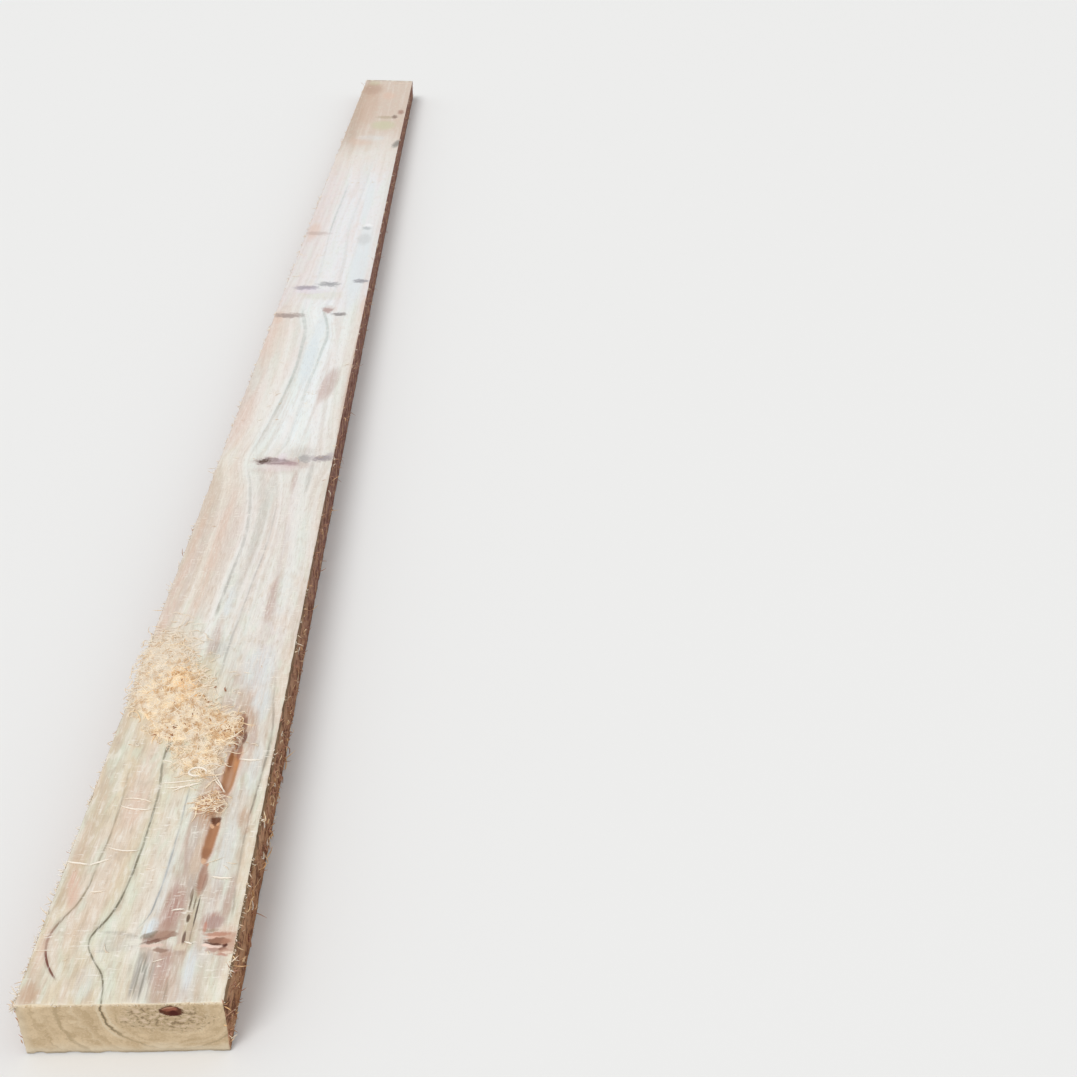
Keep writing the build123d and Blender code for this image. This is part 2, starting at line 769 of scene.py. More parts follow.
@dataclass(frozen=True)
class SawnSoftwood:
    """The finish of fresh sawn softwood with stained heart, in display colours and millimetres.

    near, middle and high colour the wood by ring age up to 0.4 m, up to 0.9 m and further along,
    where lilac, drab and at last the far colours come in. A drift is how far noise shifts such a
    border, and a cell the size of a patch of noise along x, along the plank and along z. broad,
    hues, tones, bands and strokes are pairs of washes for the high and the low parts of finer and
    finer noise. Rings, tints and the other marks are single marks, most of them stained wood; a few
    are painted highlight and shade about the torn knots, and one is a painted shadow beside the
    small heap of shavings. Then come the worn arrises, paler partly from wear and partly as painted
    highlight, the narrow sides, whose brown is partly painted shade and whose pits are darkened with
    painted shade, and the ends with the heart and the pith, whose pale borders are partly painted
    highlight.
    """

    near: Lanes = Lanes(
        (
            (0, (200, 173, 150)), (6, (206, 187, 170)), (17, (204, 187, 172)), (21, (209, 194, 178)),
            (23, (227, 225, 212)), (27, (230, 228, 212)), (33, (229, 222, 202)), (44, (225, 217, 194)),
            (53, (230, 224, 201)), (57, (224, 212, 187)), (66, (226, 208, 181)), (78, (220, 203, 175)),
            (83, (222, 206, 179)), (88, (232, 219, 194)), (94, (216, 201, 174)), (101, (208, 189, 162)),
            (107, (217, 202, 177)), (113, (221, 208, 187)),
        ),
        (
            (0, (200, 173, 150)), (3, (196, 168, 145)), (7, (213, 199, 183)), (12, (218, 210, 200)),
            (19, (220, 213, 201)), (24, (215, 203, 185)), (29, (223, 211, 191)), (34, (234, 222, 200)),
            (38, (234, 223, 202)),
        ),
    )
    middle: Lanes = Lanes(
        (
            (0, (228, 219, 214)), (6, (232, 227, 220)), (18, (233, 230, 223)), (27, (231, 226, 219)),
            (36, (229, 225, 217)), (45, (231, 228, 221)), (56, (240, 237, 231)), (62, (235, 227, 218)),
            (70, (229, 216, 204)), (78, (233, 221, 208)), (84, (235, 225, 212)), (90, (221, 208, 193)),
            (100, (216, 199, 182)), (113, (219, 205, 190)),
        ),
        (
            (0, (228, 219, 214)), (8, (228, 221, 216)), (16, (229, 227, 220)), (26, (231, 225, 217)),
            (32, (224, 212, 200)), (38, (224, 209, 196)),
        ),
    )
    high: Lanes = Lanes(
        (
            (0, (238, 238, 238)), (10, (240, 242, 242)), (24, (240, 245, 246)), (40, (239, 243, 243)),
            (55, (238, 239, 237)), (64, (237, 233, 227)), (74, (234, 226, 217)), (84, (230, 218, 208)),
            (98, (226, 211, 202)), (113, (223, 209, 200)),
        ),
        (
            (0, (238, 238, 238)), (10, (238, 239, 238)), (22, (236, 237, 233)), (30, (233, 228, 220)),
            (38, (229, 219, 210)),
        ),
    )
    far_wood: Rgb = (216, 197, 182)
    far_left: Rgb = (196, 174, 156)
    middle_from: Span = (330, 480)
    high_from: Span = (850, 950)
    far_from: Span = (2560, 2960)
    far_left_ages: Span = (60, 105)
    drift_cell: Cell = (10, 90, 10)
    age_drift: float = 5.0
    along_drift: float = 160.0
    far_drift: float = 420.0
    lilac: Wash = Wash(1400, 1500, 0.55, (234, 230, 234))
    drab: Wash = Wash(2250, 2600, 0.5, (228, 218, 202))
    broad: tuple[Wash, Wash] = (
        Wash(0.5, 0.66, 0.35, (226, 236, 228)), Wash(0.5, 0.34, 0.35, (234, 218, 212))
    )
    hues: tuple[Wash, Wash] = (
        Wash(0.48, 0.32, 0.42, (226, 200, 174)), Wash(0.5, 0.66, 0.5, (222, 230, 212))
    )
    tones: tuple[Wash, Wash] = (
        Wash(0.52, 0.68, 0.5, (244, 238, 226)), Wash(0.48, 0.32, 0.5, (200, 182, 160))
    )
    bands: tuple[Wash, Wash] = (
        Wash(0.5, 0.64, 0.35, (208, 194, 182)), Wash(0.5, 0.36, 0.4, (245, 243, 240))
    )
    strokes: tuple[Wash, Wash] = (
        Wash(0.54, 0.7, 0.26, (184, 162, 144)), Wash(0.46, 0.32, 0.33, (250, 246, 238))
    )
    torn: Rgb = (248, 242, 232)
    hue_cell: Cell = (12, 42, 12)
    streak_cell: Cell = (1.9, 22, 1.9)
    stroke_cell: Cell = (1.3, 15, 1.3)
    torn_cell: Cell = (9, 2.4, 9)
    fibre_cell: Cell = (0.9, 8, 0.9)
    across_cell: Cell = (12, 1.3, 12)
    rings: tuple[RingLine, ...] = (
        RingLine(28, False, 1.0, (160, 162, 162), (
            (68, 0), (80, 0.75), (150, 0.7), (180, 0.3), (205, 0.6), (240, 0.3), (300, 0),
        )),
        RingLine(28, False, 1.3, (168, 164, 156), ((370, 0), (392, 0.6), (470, 0.4), (640, 0.4), (850, 0))),
        RingLine(28, False, 1.4, (178, 188, 184), (
            (850, 0), (885, 0.2), (990, 0.25), (1100, 0.5), (1250, 0.45), (1400, 0.6), (1440, 0.12),
            (2300, 0.12), (2600, 0),
        )),
        RingLine(28, True, 1.2, (144, 134, 120), (
            (76, 0), (90, 0.35), (160, 0.35), (200, 0.7), (300, 0.6), (345, 0.3), (430, 0),
        )),
        RingLine(54, False, 1.35, (130, 124, 104), (
            (0, 0.7), (46, 0.95), (76, 0.9), (120, 0.85), (150, 0.75), (200, 0.7), (228, 0.5), (240, 0.65),
            (258, 0.65), (262, 0.15), (266, 0.8), (284, 0.9), (291, 0),
        )),
        RingLine(54, False, 1.6, (164, 162, 152), (
            (490, 0), (508, 0.75), (640, 0.62), (700, 0.55), (790, 0.35), (850, 0),
        )),
        RingLine(54, False, 1.4, (174, 184, 178), (
            (860, 0), (900, 0.2), (1040, 0.45), (1110, 0.65), (1190, 0.45), (1420, 0.6), (1450, 0.1),
            (1880, 0.1), (1920, 0.4), (2240, 0.3), (2300, 0),
        )),
        RingLine(84, False, 1.7, (118, 68, 56), ((23, 0), (28, 0.9), (45, 1), (62, 0.9), (92, 0))),
        RingLine(84, False, 1.2, (146, 130, 104), (
            (62, 0), (80, 0.7), (126, 0.6), (132, 0), (141, 0.55), (200, 0.45), (262, 0),
        )),
        RingLine(42, False, 5.0, (202, 199, 190), ((480, 0), (560, 0.35), (780, 0.3), (900, 0))),
    )
    ring_wobble: float = 1.6
    halo_width: float = 2.6
    halo: float = 0.2
    tints: tuple[tuple[Tint, tuple[Patch, ...]], ...] = (
        (Tint.MAUVE, (
            Patch(90, 20.5, 25, 8.5, 1.0), Patch(160, 20, 50, 6, 0.35), Patch(76, 53, 10, 8.5, 1.0),
            Patch(32, 25, 20, 6.5, 0.7), Patch(98, 62, 26, 4, 0.6), Patch(34, 66, 14, 4, 0.35),
            Patch(104, 51, 22, 5, 0.35), Patch(830, 0, 10, 36, 0.22), Patch(846, 22, 14, 24, 0.4),
            Patch(806, 28, 40, 3.5, 0.45), Patch(525, 37, 44, 5, 0.55),
            Patch(1112, 42, 66, 12, 0.55, turn=-5), Patch(440, -11, 44, 6, 0.55),
            Patch(1436, 10, 16, 9, 0.4), Patch(290, 52, 24, 3, 0.5),
        )),
        (Tint.PINK, (
            Patch(112, -62, 22, 5, 0.95, turn=12), Patch(52, -69, 30, 4, 0.4),
            Patch(560, -68, 190, 6, 0.35), Patch(620, -42, 150, 6, 0.45), Patch(980, -64, 90, 12, 0.3),
            Patch(1280, -66, 120, 12, 0.3), Patch(1900, -64, 60, 13, 0.45),
            Patch(1390, -70, 30, 10, 0.5), Patch(205, -36, 26, 10, 0.45), Patch(1460, 70, 50, 6, 0.5),
            Patch(3340, 10, 60, 22, 0.5), Patch(62, 66, 12, 9, 0.55), Patch(2720, -30, 60, 30, 0.3),
            Patch(160, -68, 30, 6, 0.3),
        )),
        (Tint.ICE, (
            Patch(69, 8, 12, 6, 1.0), Patch(125, 9, 50, 2.5, 0.35), Patch(150, 52, 40, 6, 0.3),
            Patch(32, 44, 22, 4.5, 0.7), Patch(400, 42, 40, 18, 0.55), Patch(520, -8, 34, 5, 0.5),
            Patch(1215, 2, 110, 11, 0.9), Patch(1340, 4, 60, 10, 0.6), Patch(1700, 45, 260, 17, 0.7),
            Patch(252, 60, 36, 6, 0.4), Patch(2150, 30, 200, 10, 0.5), Patch(2760, -5, 34, 42, 0.35),
            Patch(20, -30, 16, 8, 0.3), Patch(345, 52, 30, 10, 0.6),
        )),
        (Tint.SLATE, (
            Patch(26, 6, 22, 2.0, 0.9), Patch(24, 13, 22, 1.8, 0.8), Patch(18, 10, 16, 2, 0.5),
            Patch(815, 46, 50, 3.5, 0.35), Patch(700, 1, 110, 6, 0.15), Patch(1850, 42, 40, 14, 0.25),
            Patch(112, 30, 16, 4, 0.4), Patch(882, 28, 18, 22, 0.2), Patch(56, -14, 9, 15, 0.28),
            Patch(22, 18, 18, 1.3, 0.6), Patch(30, 2, 18, 1.3, 0.6), Patch(38, 11, 12, 1.2, 0.6),
            Patch(66, -16, 1.6, 12, 0.5, turn=-6), Patch(50, -20, 1.6, 10, 0.4, turn=5),
            Patch(432, -4, 16, 8, 0.4), Patch(12, 28, 12, 6, 0.2),
        )),
        (Tint.UMBER, (
            Patch(205, 29, 30, 12, 0.9), Patch(116, 38, 18, 5, 0.4), Patch(318, 44, 22, 9, 0.7),
            Patch(188, 60, 13, 6, 0.5), Patch(174, 63, 6, 4, 0.5), Patch(3200, -40, 300, 30, 0.3),
            Patch(12, -66, 10, 8, 0.5), Patch(3440, -44, 110, 36, 0.35), Patch(3380, -44, 130, 18, 0.4),
            Patch(12, 30, 16, 14, 0.3), Patch(1150, 75, 330, 7, 0.5),
        )),
        (Tint.MOSS, (
            Patch(2920, 18, 60, 34, 0.75), Patch(400, -10, 30, 8, 0.5), Patch(255, 8, 34, 14, 0.45),
            Patch(40, -45, 22, 10, 0.2), Patch(1510, -10, 26, 40, 0.25), Patch(3540, -45, 40, 20, 0.5),
            Patch(84, 35.5, 24, 4.5, 0.45), Patch(62, 40, 14, 5, 0.3),
        )),
        (Tint.DUST, (
            Patch(352, -26, 68, 42, 0.75), Patch(428, -54, 46, 30, 0.5), Patch(266, 8, 34, 20, 0.65),
            Patch(306, 22, 26, 18, 0.6), Patch(228, 6, 12, 22, 0.35),
        )),
    )
    stains_and_painted_light: tuple[Patch, ...] = (
        Patch(247, 38.9, 31, 8.6, 0.5, (238, 208, 196), blunt=True, turn=-2.4),
        Patch(247, 38.5, 29, 6.3, 1, (184, 136, 98), blunt=True, turn=-2.4),
        Patch(165, 36, 27, 6.6, 0.4, (230, 200, 184), blunt=True, turn=-2.4),
        Patch(165, 36, 25.5, 5.0, 1, (180, 130, 96), blunt=True, turn=-2.4),
        Patch(148, 35.5, 8, 4.2, 0.5, (152, 104, 76)), Patch(264, 36, 15, 2.0, 0.9, (150, 98, 60)),
        # Patch(188, 36): the dark cap of the channel, its brown heart darkened further as painted shadow of
        # the small heap of shavings.
        Patch(188, 36, 5.5, 5.0, 0.95, (106, 62, 40)), Patch(240, 38, 26, 4, 0.3, (192, 146, 122)),
        Patch(181, 34, 2.2, 1.8, 0.9, (240, 196, 160)), Patch(184, 39, 2, 1.6, 0.8, (226, 176, 138)),
        Patch(260, 41.5, 11, 2.6, 0.6, (210, 150, 104)), Patch(272, 44.0, 8, 2.4, 0.8, (224, 192, 170)),
        Patch(312, 41, 13, 3.0, 0.75, (138, 92, 74)), Patch(324, 38, 7, 2.0, 0.6, (150, 104, 84)),
        Patch(139, 34.5, 3.4, 2.4, 0.9, (226, 184, 150)),
        Patch(136, 38.5, 2, 1.5, 0.8, (232, 182, 146)), Patch(122, 37, 20, 3.2, 0.7, (170, 122, 102)),
        Patch(116, 40, 12, 2, 0.5, (150, 108, 92)), Patch(276, 42, 12, 2.6, 0.7, (150, 100, 78)),
        Patch(294, 44, 9, 2.2, 0.8, (112, 66, 52)), Patch(284, 38, 6, 1.6, 0.7, (124, 76, 56)),
        Patch(304, 40, 5, 1.6, 0.7, (132, 88, 68)), Patch(306, -21, 4, 2.4, 0.8, (112, 74, 56)),
        Patch(296, -24, 3, 2, 0.8, (120, 84, 66)), Patch(96, 33.0, 9, 0.8, 0.85, (122, 106, 88)),
        Patch(79.5, 34, 4.6, 1.5, 0.95, (112, 92, 76)), Patch(95, 36.0, 8, 0.7, 0.75, (130, 112, 92)),
        Patch(86, 39.2, 17, 0.8, 0.9, (106, 92, 80)), Patch(104, 32, 6, 1.4, 0.6, (140, 118, 98)),
        Patch(60, 34.5, 7, 1.4, 0.9, (116, 92, 80)), Patch(62, 39, 8, 0.7, 0.5, (146, 128, 112)),
        Patch(70, 20, 8, 9, 0.6, (184, 150, 134)), Patch(62, 15, 5, 12, 0.9, (170, 136, 118), turn=16),
        # Patch(64, 8): the dark olive band at the rim of the left knot's torn hollow, painted shade.
        Patch(64, 8, 2.2, 7, 0.75, (142, 126, 106), turn=28),
        Patch(58.2, 13.5, 2.4, 10, 0.85, (132, 96, 82), turn=20),
        Patch(64, 25, 2.6, 5, 0.7, (158, 124, 108), turn=14),
        Patch(60, 19, 1.4, 4, 0.6, (206, 168, 148)),
        # Patch(53, 12): the pale strip below the left knot, a painted highlight.
        Patch(53, 12, 1.9, 9.5, 0.9, (232, 206, 192), turn=5),
        Patch(57, -2, 3.4, 6, 0.7, (240, 236, 222)), Patch(49, 20, 2.2, 7, 0.85, (158, 126, 110)),
        Patch(64, -5, 1.6, 5, 0.35, (178, 172, 160), bend=-1.2),
        Patch(45, 24, 3, 6, 0.5, (190, 156, 138)), Patch(52, 33, 4, 5, 0.5, (228, 216, 192)),
        Patch(43, 8, 5, 2, 0.5, (164, 156, 144)), Patch(46, 34, 2.4, 4, 0.5, (182, 158, 142)),
        Patch(56, 64, 11, 12, 0.75, (204, 164, 142), blunt=True),
        Patch(75, 55, 6, 6.5, 0.6, (182, 154, 146), blunt=True),
        Patch(67.5, 52, 1.8, 8, 0.6, (164, 140, 116)), Patch(70, 48.5, 6, 1.6, 0.6, (206, 140, 120)),
        Patch(63, 58.5, 2.4, 11, 0.75, (190, 136, 114), bend=0.4),
        # Patch(60.4, 56) and Patch(52.4, 57): the pale curl of the right knot, a painted highlight on the
        # lip of its torn hollow.
        Patch(60.4, 56, 1.2, 6.5, 0.6, (236, 196, 176), bend=-0.5),
        Patch(58, 60, 2.0, 10, 0.9, (148, 106, 86), bend=-0.7),
        Patch(55.8, 57.5, 1.3, 7, 0.9, (100, 64, 50), bend=-0.9),
        Patch(52.4, 57.0, 2.2, 8.2, 1, (252, 224, 210), bend=-0.2),
        Patch(53.2, 66.2, 3.4, 2.3, 1, (98, 58, 46)), Patch(57, 67, 2.4, 4, 0.8, (176, 130, 108)),
        Patch(48.6, 60, 1.6, 8, 0.7, (184, 150, 138)), Patch(49, 65, 1.4, 3.5, 0.8, (142, 100, 82)),
        Patch(46, 68, 3.4, 6, 0.6, (200, 158, 138)),
        Patch(43.5, 66, 1.3, 6, 0.6, (190, 130, 114), turn=-10),
        Patch(45.6, 69, 1.2, 4, 0.7, (244, 222, 204)), Patch(856, -1, 13, 31, 0.65, (196, 176, 176)),
        Patch(850.4, -4, 4.2, 23, 0.8, (156, 132, 134)),
        Patch(861, 0, 4.6, 17, 0.8, (150, 130, 132), turn=-16),
        Patch(855.6, 2, 2.8, 9, 0.5, (212, 194, 198)),
        Patch(857, -19.5, 6.6, 9.6, 1, (104, 84, 78), turn=24),
        Patch(849, 17, 7, 12, 0.75, (176, 148, 150), turn=-14),
        Patch(870, 4, 11, 6, 0.45, (236, 222, 230)), Patch(864, 34, 12, 9, 0.8, (172, 168, 166)),
        Patch(866, 46, 9, 8, 0.5, (190, 178, 180)),
        Patch(866, 58, 10, 12, 0.85, (154, 142, 146), turn=4),
        Patch(874, 67, 8, 9, 0.55, (182, 172, 176), turn=22),
        Patch(856, 74, 9, 4, 0.6, (232, 198, 186)), Patch(838, 4, 10, 28, 0.4, (234, 218, 220)),
        Patch(858, -29, 5, 4, 0.5, (190, 178, 170)), Patch(1404, -56, 12, 27, 0.8, (160, 142, 136)),
        Patch(1413, 30, 9, 13, 0.8, (132, 124, 124)),
        Patch(1431, 9, 12, 10, 0.75, (178, 146, 140), bend=0.6),
        Patch(1548, -40, 12, 22, 0.8, (160, 150, 162)), Patch(1569, -1, 12, 20, 0.8, (152, 152, 154)),
        Patch(1589, 55, 10, 14, 0.85, (148, 146, 152)), Patch(1530, -30, 14, 30, 0.35, (232, 220, 240)),
        Patch(1884, -58, 13, 30, 0.45, (184, 164, 156)), Patch(1925, 42, 12, 9, 0.5, (156, 162, 164)),
        Patch(1948, 44, 12, 10, 0.6, (250, 250, 250)),
        Patch(2700, 67, 48, 10, 0.9, (144, 140, 134), turn=-8),
        Patch(3024, 18, 20, 26, 0.55, (180, 164, 136)), Patch(3032, 44, 26, 8, 0.8, (134, 110, 98)),
        Patch(3100, 59, 32, 9, 0.8, (166, 126, 112)), Patch(3440, -44, 90, 26, 0.35, (172, 138, 120)),
        Patch(24, 8.2, 18, 0.8, 0.65, (146, 140, 126)), Patch(20, 12.6, 16, 0.7, 0.6, (148, 142, 128)),
        Patch(36, 10.4, 8, 0.8, 0.6, (140, 134, 120)), Patch(30, 16.4, 12, 0.7, 0.5, (156, 140, 124)),
        Patch(12, 31, 10, 0.8, 0.5, (164, 148, 130)),
    )
    soft_from: float = 700.0
    near_border: Span = (0.3, 1.4)
    soft_border: Span = (0.0, 1.7)
    stained_above: Span = (-7, -3)
    # Pale arrises: partly worn fibres, partly painted highlight along the edges.
    worn: Wash = Wash(0.1, 0.5, 0.8, (240, 231, 212))
    # Colours of the narrow sides: partly the wood's own brown, partly painted shade.
    side_top: Rgb = (212, 164, 126)
    side_low: Rgb = (184, 130, 92)
    side_far_shade: Rgb = (151, 109, 104)
    side_edge: Rgb = (132, 112, 84)
    side_shade_from: Span = (250, 1150)
    side_rim_above: Span = (-13, -6)
    side_facing: Span = (0.62, 0.82)
    end_facing: Span = (0.6, 0.82)
    side_blotches: tuple[Wash, Wash] = (
        Wash(0.5, 0.6, 0.85, (110, 66, 44)), Wash(0.48, 0.38, 0.75, (200, 158, 124))
    )
    side_scratches: tuple[Wash, Wash] = (
        Wash(0.54, 0.64, 0.5, (212, 166, 134)), Wash(0.46, 0.36, 0.55, (110, 66, 44))
    )
    # Painted shade in the pits of the sides.
    side_pit_shade: Wash = Wash(0.25, 0.6, 0.85, (118, 56, 42))
    end_grain: Rgb = (232, 208, 172)
    end_shade: Rgb = (215, 190, 153)
    end_heart: Rgb = (176, 154, 120)
    end_pale_and_highlight: Rgb = (240, 226, 200)
    end_line: Rgb = (116, 102, 76)
    end_arcs: tuple[Wash, Wash] = (
        Wash(0.5, 0.62, 0.42, (190, 164, 126)), Wash(0.46, 0.36, 0.35, (238, 220, 190))
    )
    end_specks: tuple[Wash, Wash] = (
        Wash(0.52, 0.68, 0.4, (242, 224, 196)), Wash(0.47, 0.34, 0.25, (186, 162, 128))
    )
    end_worms: tuple[Wash, Wash] = (
        Wash(0.47, 0.38, 0.75, (138, 116, 90)), Wash(0.52, 0.62, 0.8, (236, 212, 186))
    )
    third_line: Wash = Wash(2.2, 0.6, 0.4, (168, 146, 110))
    heart: Oval = Oval(-15, 31, 16, 33)
    pith: tuple[tuple[Oval, Wash], ...] = (
        (Oval(-9.2, 36.2, 5.2, 8.6, turn=-5), Wash(1.25, 0.75, 1, (98, 58, 42))),
        (Oval(-8.2, 35.0, 3.0, 6.0, turn=-5), Wash(1.2, 0.4, 1, (160, 100, 80))),
        (Oval(-7.6, 33.5, 1.3, 4.4, turn=-5), Wash(1.2, 0.3, 1, (206, 156, 128))),
        (Oval(-12.2, 37.5, 2.1, 4.2), Wash(1.2, 0.3, 1, (78, 34, 26))),
    )
    roughness: float = 0.85
    specular: float = 0.2
    bump_strength: float = 0.75

    def material(self, wood: Heartwood, blank: Blank) -> bpy.types.Material:
        """Build the material from the place, the ring age and the fields stored on the mesh.

        Args:
            wood: The tree inside the plank.
            blank: The sizes of the plank.

        Returns:
            The material.
        """
        graph = Graph("sawn_softwood")
        x, y, z = graph.place()
        coat = Coat(
            graph, x - blank.crook / 2, y + blank.length / 2, z - blank.top,
            graph.attribute("age"), graph.attribute("right_share"),
        )
        for layer in (
            self._lanes, self._mottle, self._rings, self._tints, self._strokes, self._stains_and_painted_light
        ):
            layer(coat)
        # Paler along the arrises: partly wear, partly painted highlight.
        coat.wash(graph.attribute("worn"), self.worn)
        self._side(coat)
        self._end(coat, wood)
        fibre = coat.noise(self.fibre_cell, 3, 0.6)
        across = coat.noise(self.across_cell, 3, 0.55)
        relief = graph.bump(fibre * 0.5 + across * 0.5, self.bump_strength, MM)
        graph.feed(graph.shader.inputs["Normal"], relief)
        return graph.close(coat.colour, self.roughness, self.specular)

    def _lanes(self, coat: Coat) -> None:
        """Colour the wood by ring age, with other colours further along the plank.

        Args:
            coat: The coat that this is the first layer of.
        """
        graph = coat.graph
        drift = coat.noise(self.drift_cell, 3, 0.6) - 0.5
        age, along = coat.age + drift * self.age_drift, coat.along + drift * self.along_drift
        coat.colour = self.near.paint(graph, age, coat.share)
        coat.lay(graph.rise(along, *self.middle_from), self.middle.paint(graph, age, coat.share))
        coat.lay(graph.rise(along, *self.high_from), self.high.paint(graph, age, coat.share))
        coat.wash(along, self.lilac)
        broad = graph.noise(graph.vector(coat.x / 26, coat.along / 260, 5.0), 2, 0.5)
        coat.wash(broad, *self.broad)
        coat.wash(along, self.drab)
        reach = coat.along + (broad - 0.5) * self.far_drift + coat.age
        left = graph.rise(coat.age, *self.far_left_ages)
        coat.lay(graph.rise(reach, *self.far_from, 0.95), graph.mix(left, self.far_wood, self.far_left))

    def _mottle(self, coat: Coat) -> None:
        """Shift the colour in patches, less so further along: peach or mint, then paler or browner.

        Args:
            coat: The coat to lay it on.
        """
        near = coat.graph.fall(coat.along, 250, 800, 0.75) + 0.25
        coat.wash(coat.noise(self.hue_cell, 2, 0.5), *self.hues, weight=near)
        where = coat.graph.vector(coat.x / 6, coat.along / 20 + 40, coat.z / 6)
        coat.wash(coat.graph.noise(where, 3, 0.55), *self.tones, weight=near)

    def _rings(self, coat: Coat) -> None:
        """Draw the growth rings that show as lines, wider further along and uneven all over.

        Args:
            coat: The coat to lay them on.
        """
        graph, age, along = coat.graph, coat.age, coat.along
        wobble = graph.noise(graph.vector(age / 5, along / 26, coat.share), 2, 0.55) - 0.5
        breaks = graph.noise(graph.vector(age / 8, along / 20, 7.0), 2, 0.6)
        steady = 0.6 + graph.rise(breaks, 0.36, 0.55, 0.4)
        widen = 0.7 + graph.rise(along, 40, 90, 0.3) + graph.rise(along, 190, 270, 0.35)
        widen = (widen + graph.rise(along, 600, 1100, 0.9)) * (0.75 + breaks * 0.5)
        for number, ring in enumerate(self.rings):
            strength = graph.attribute(f"ring_{number}") * steady
            gap = abs(age + wobble * self.ring_wobble - ring.age) / widen
            line = graph.fall(gap, ring.width * 0.3, ring.width)
            halo = graph.fall(gap, ring.width, ring.width * self.halo_width, self.halo)
            coat.lay((line + halo) * strength, ring.colour)
        bands = graph.noise(graph.vector(age / 7.5, along / 420, coat.share * 2), 3, 0.5)
        further = (graph.rise(along, 250, 600, 0.65) + 0.25) * (graph.fall(along, 800, 2000, 0.6) + 0.4)
        coat.wash(bands, *self.bands, weight=further)

    def _tints(self, coat: Coat) -> None:
        """Lay on the soft tints, whose strengths are stored on the mesh, broken into streaks.

        Args:
            coat: The coat to lay them on.
        """
        graph = coat.graph
        streaks = coat.noise(self.streak_cell, 3, 0.65)
        gaps = graph.fall(streaks, 0.34, 0.6, 0.5) * (graph.fall(coat.along, 500, 1100, 0.7) + 0.3)
        share = 1 - gaps
        for tint, _ in self.tints:
            coat.lay(graph.attribute(tint.name.lower()) * share, tint.value)

    def _strokes(self, coat: Coat) -> None:
        """Add fine strokes: dark and pale ones along the grain, and torn pale ones across it.

        Args:
            coat: The coat to lay them on.
        """
        graph = coat.graph
        near = graph.fall(coat.along, 700, 2200, 0.85) + 0.15
        coat.wash(coat.noise(self.stroke_cell, 3, 0.6), *self.strokes, weight=near)
        torn = coat.noise(self.torn_cell, 3, 0.6)
        where = graph.noise(graph.vector(coat.x / 22, coat.along / 40, 3.0), 2, 0.5)
        torn = graph.rise(torn, 0.56, 0.68, 0.7) * graph.rise(where, 0.42, 0.6) * near
        coat.lay(torn, self.torn)

    def _stains_and_painted_light(self, coat: Coat) -> None:
        """Draw the knots, the hollowed heart and other marks of the top face.

        Far ones have softer borders, and near ones that run along the grain straighter borders. A few
        are painted light: highlights and shade about the torn knots, and a shadow beside the small heap
        of shavings.

        Args:
            coat: The coat to lay them on.
        """
        graph, x, along = coat.graph, coat.x, coat.along
        ragged = graph.noise(graph.vector(x / 3, along / 3.2, 0.0), 3, 0.65) - 0.5
        rough = ragged * (1.5 + graph.rise(along, 300, 900, 0.9))
        sideways = graph.noise(graph.vector(x / 8, along / 9, 11.0), 2, 0.5) - 0.5
        lengthways = graph.noise(graph.vector(x / 9, along / 8, 17.0), 2, 0.5) - 0.5
        bent_x = x + sideways * (4 + graph.rise(along, 300, 700, 5))
        bent_along = along + lengthways * (5 + graph.rise(along, 400, 1400, 19))
        stained = replace(coat)
        for patch in self.stains_and_painted_light:
            near = patch.along < self.soft_from
            straight = near and patch.reach > 1.5 * patch.spread
            place = (x + sideways, along) if straight else (bent_x, bent_along)
            edge = patch.measure(*place) + (rough * 0.4 if straight else rough)
            border = self.near_border if near else self.soft_border
            stained.lay(graph.fall(edge, *border, patch.strength), patch.colour)
        coat.lay(graph.rise(coat.z, *self.stained_above), stained.colour)

    def _side(self, coat: Coat) -> None:
        """Give the narrow sides their browner, rougher face with dark pits and pale fibres.

        Their brown is partly the wood's own and partly painted shade, which deepens further along, and
        the pits are darkened with painted shade.

        Args:
            coat: The coat to lay it on.
        """
        graph, along, z = coat.graph, coat.along, coat.z
        blotch = graph.noise(graph.vector(0.0, along / 18, z / 13), 3, 0.6)
        base = graph.mix(graph.fall(z + blotch * 26, -32, -2), self.side_top, self.side_low)
        side = replace(coat, colour=base)
        # Painted shade: the sides darken further along.
        side.lay(graph.rise(along + blotch * 500, *self.side_shade_from, 0.95), self.side_far_shade)
        side.wash(blotch, *self.side_blotches)
        scratch = graph.noise(graph.vector(4.0, along / 5.5, z / 4.2), 3, 0.6)
        side.wash(scratch, *self.side_scratches)
        rim = graph.rise(z + (blotch - 0.5) * 9, *self.side_rim_above, 0.7)
        rim = rim * graph.fall(along, 500, 1100)
        side.lay(rim, self.side_edge)
        # Painted shade: darker where the side is pitted in.
        side.wash(graph.attribute("pit"), self.side_pit_shade)
        # Both sides take this colour, with its painted shade.
        coat.lay(graph.rise(abs(graph.normal()[0]), *self.side_facing), side.colour)

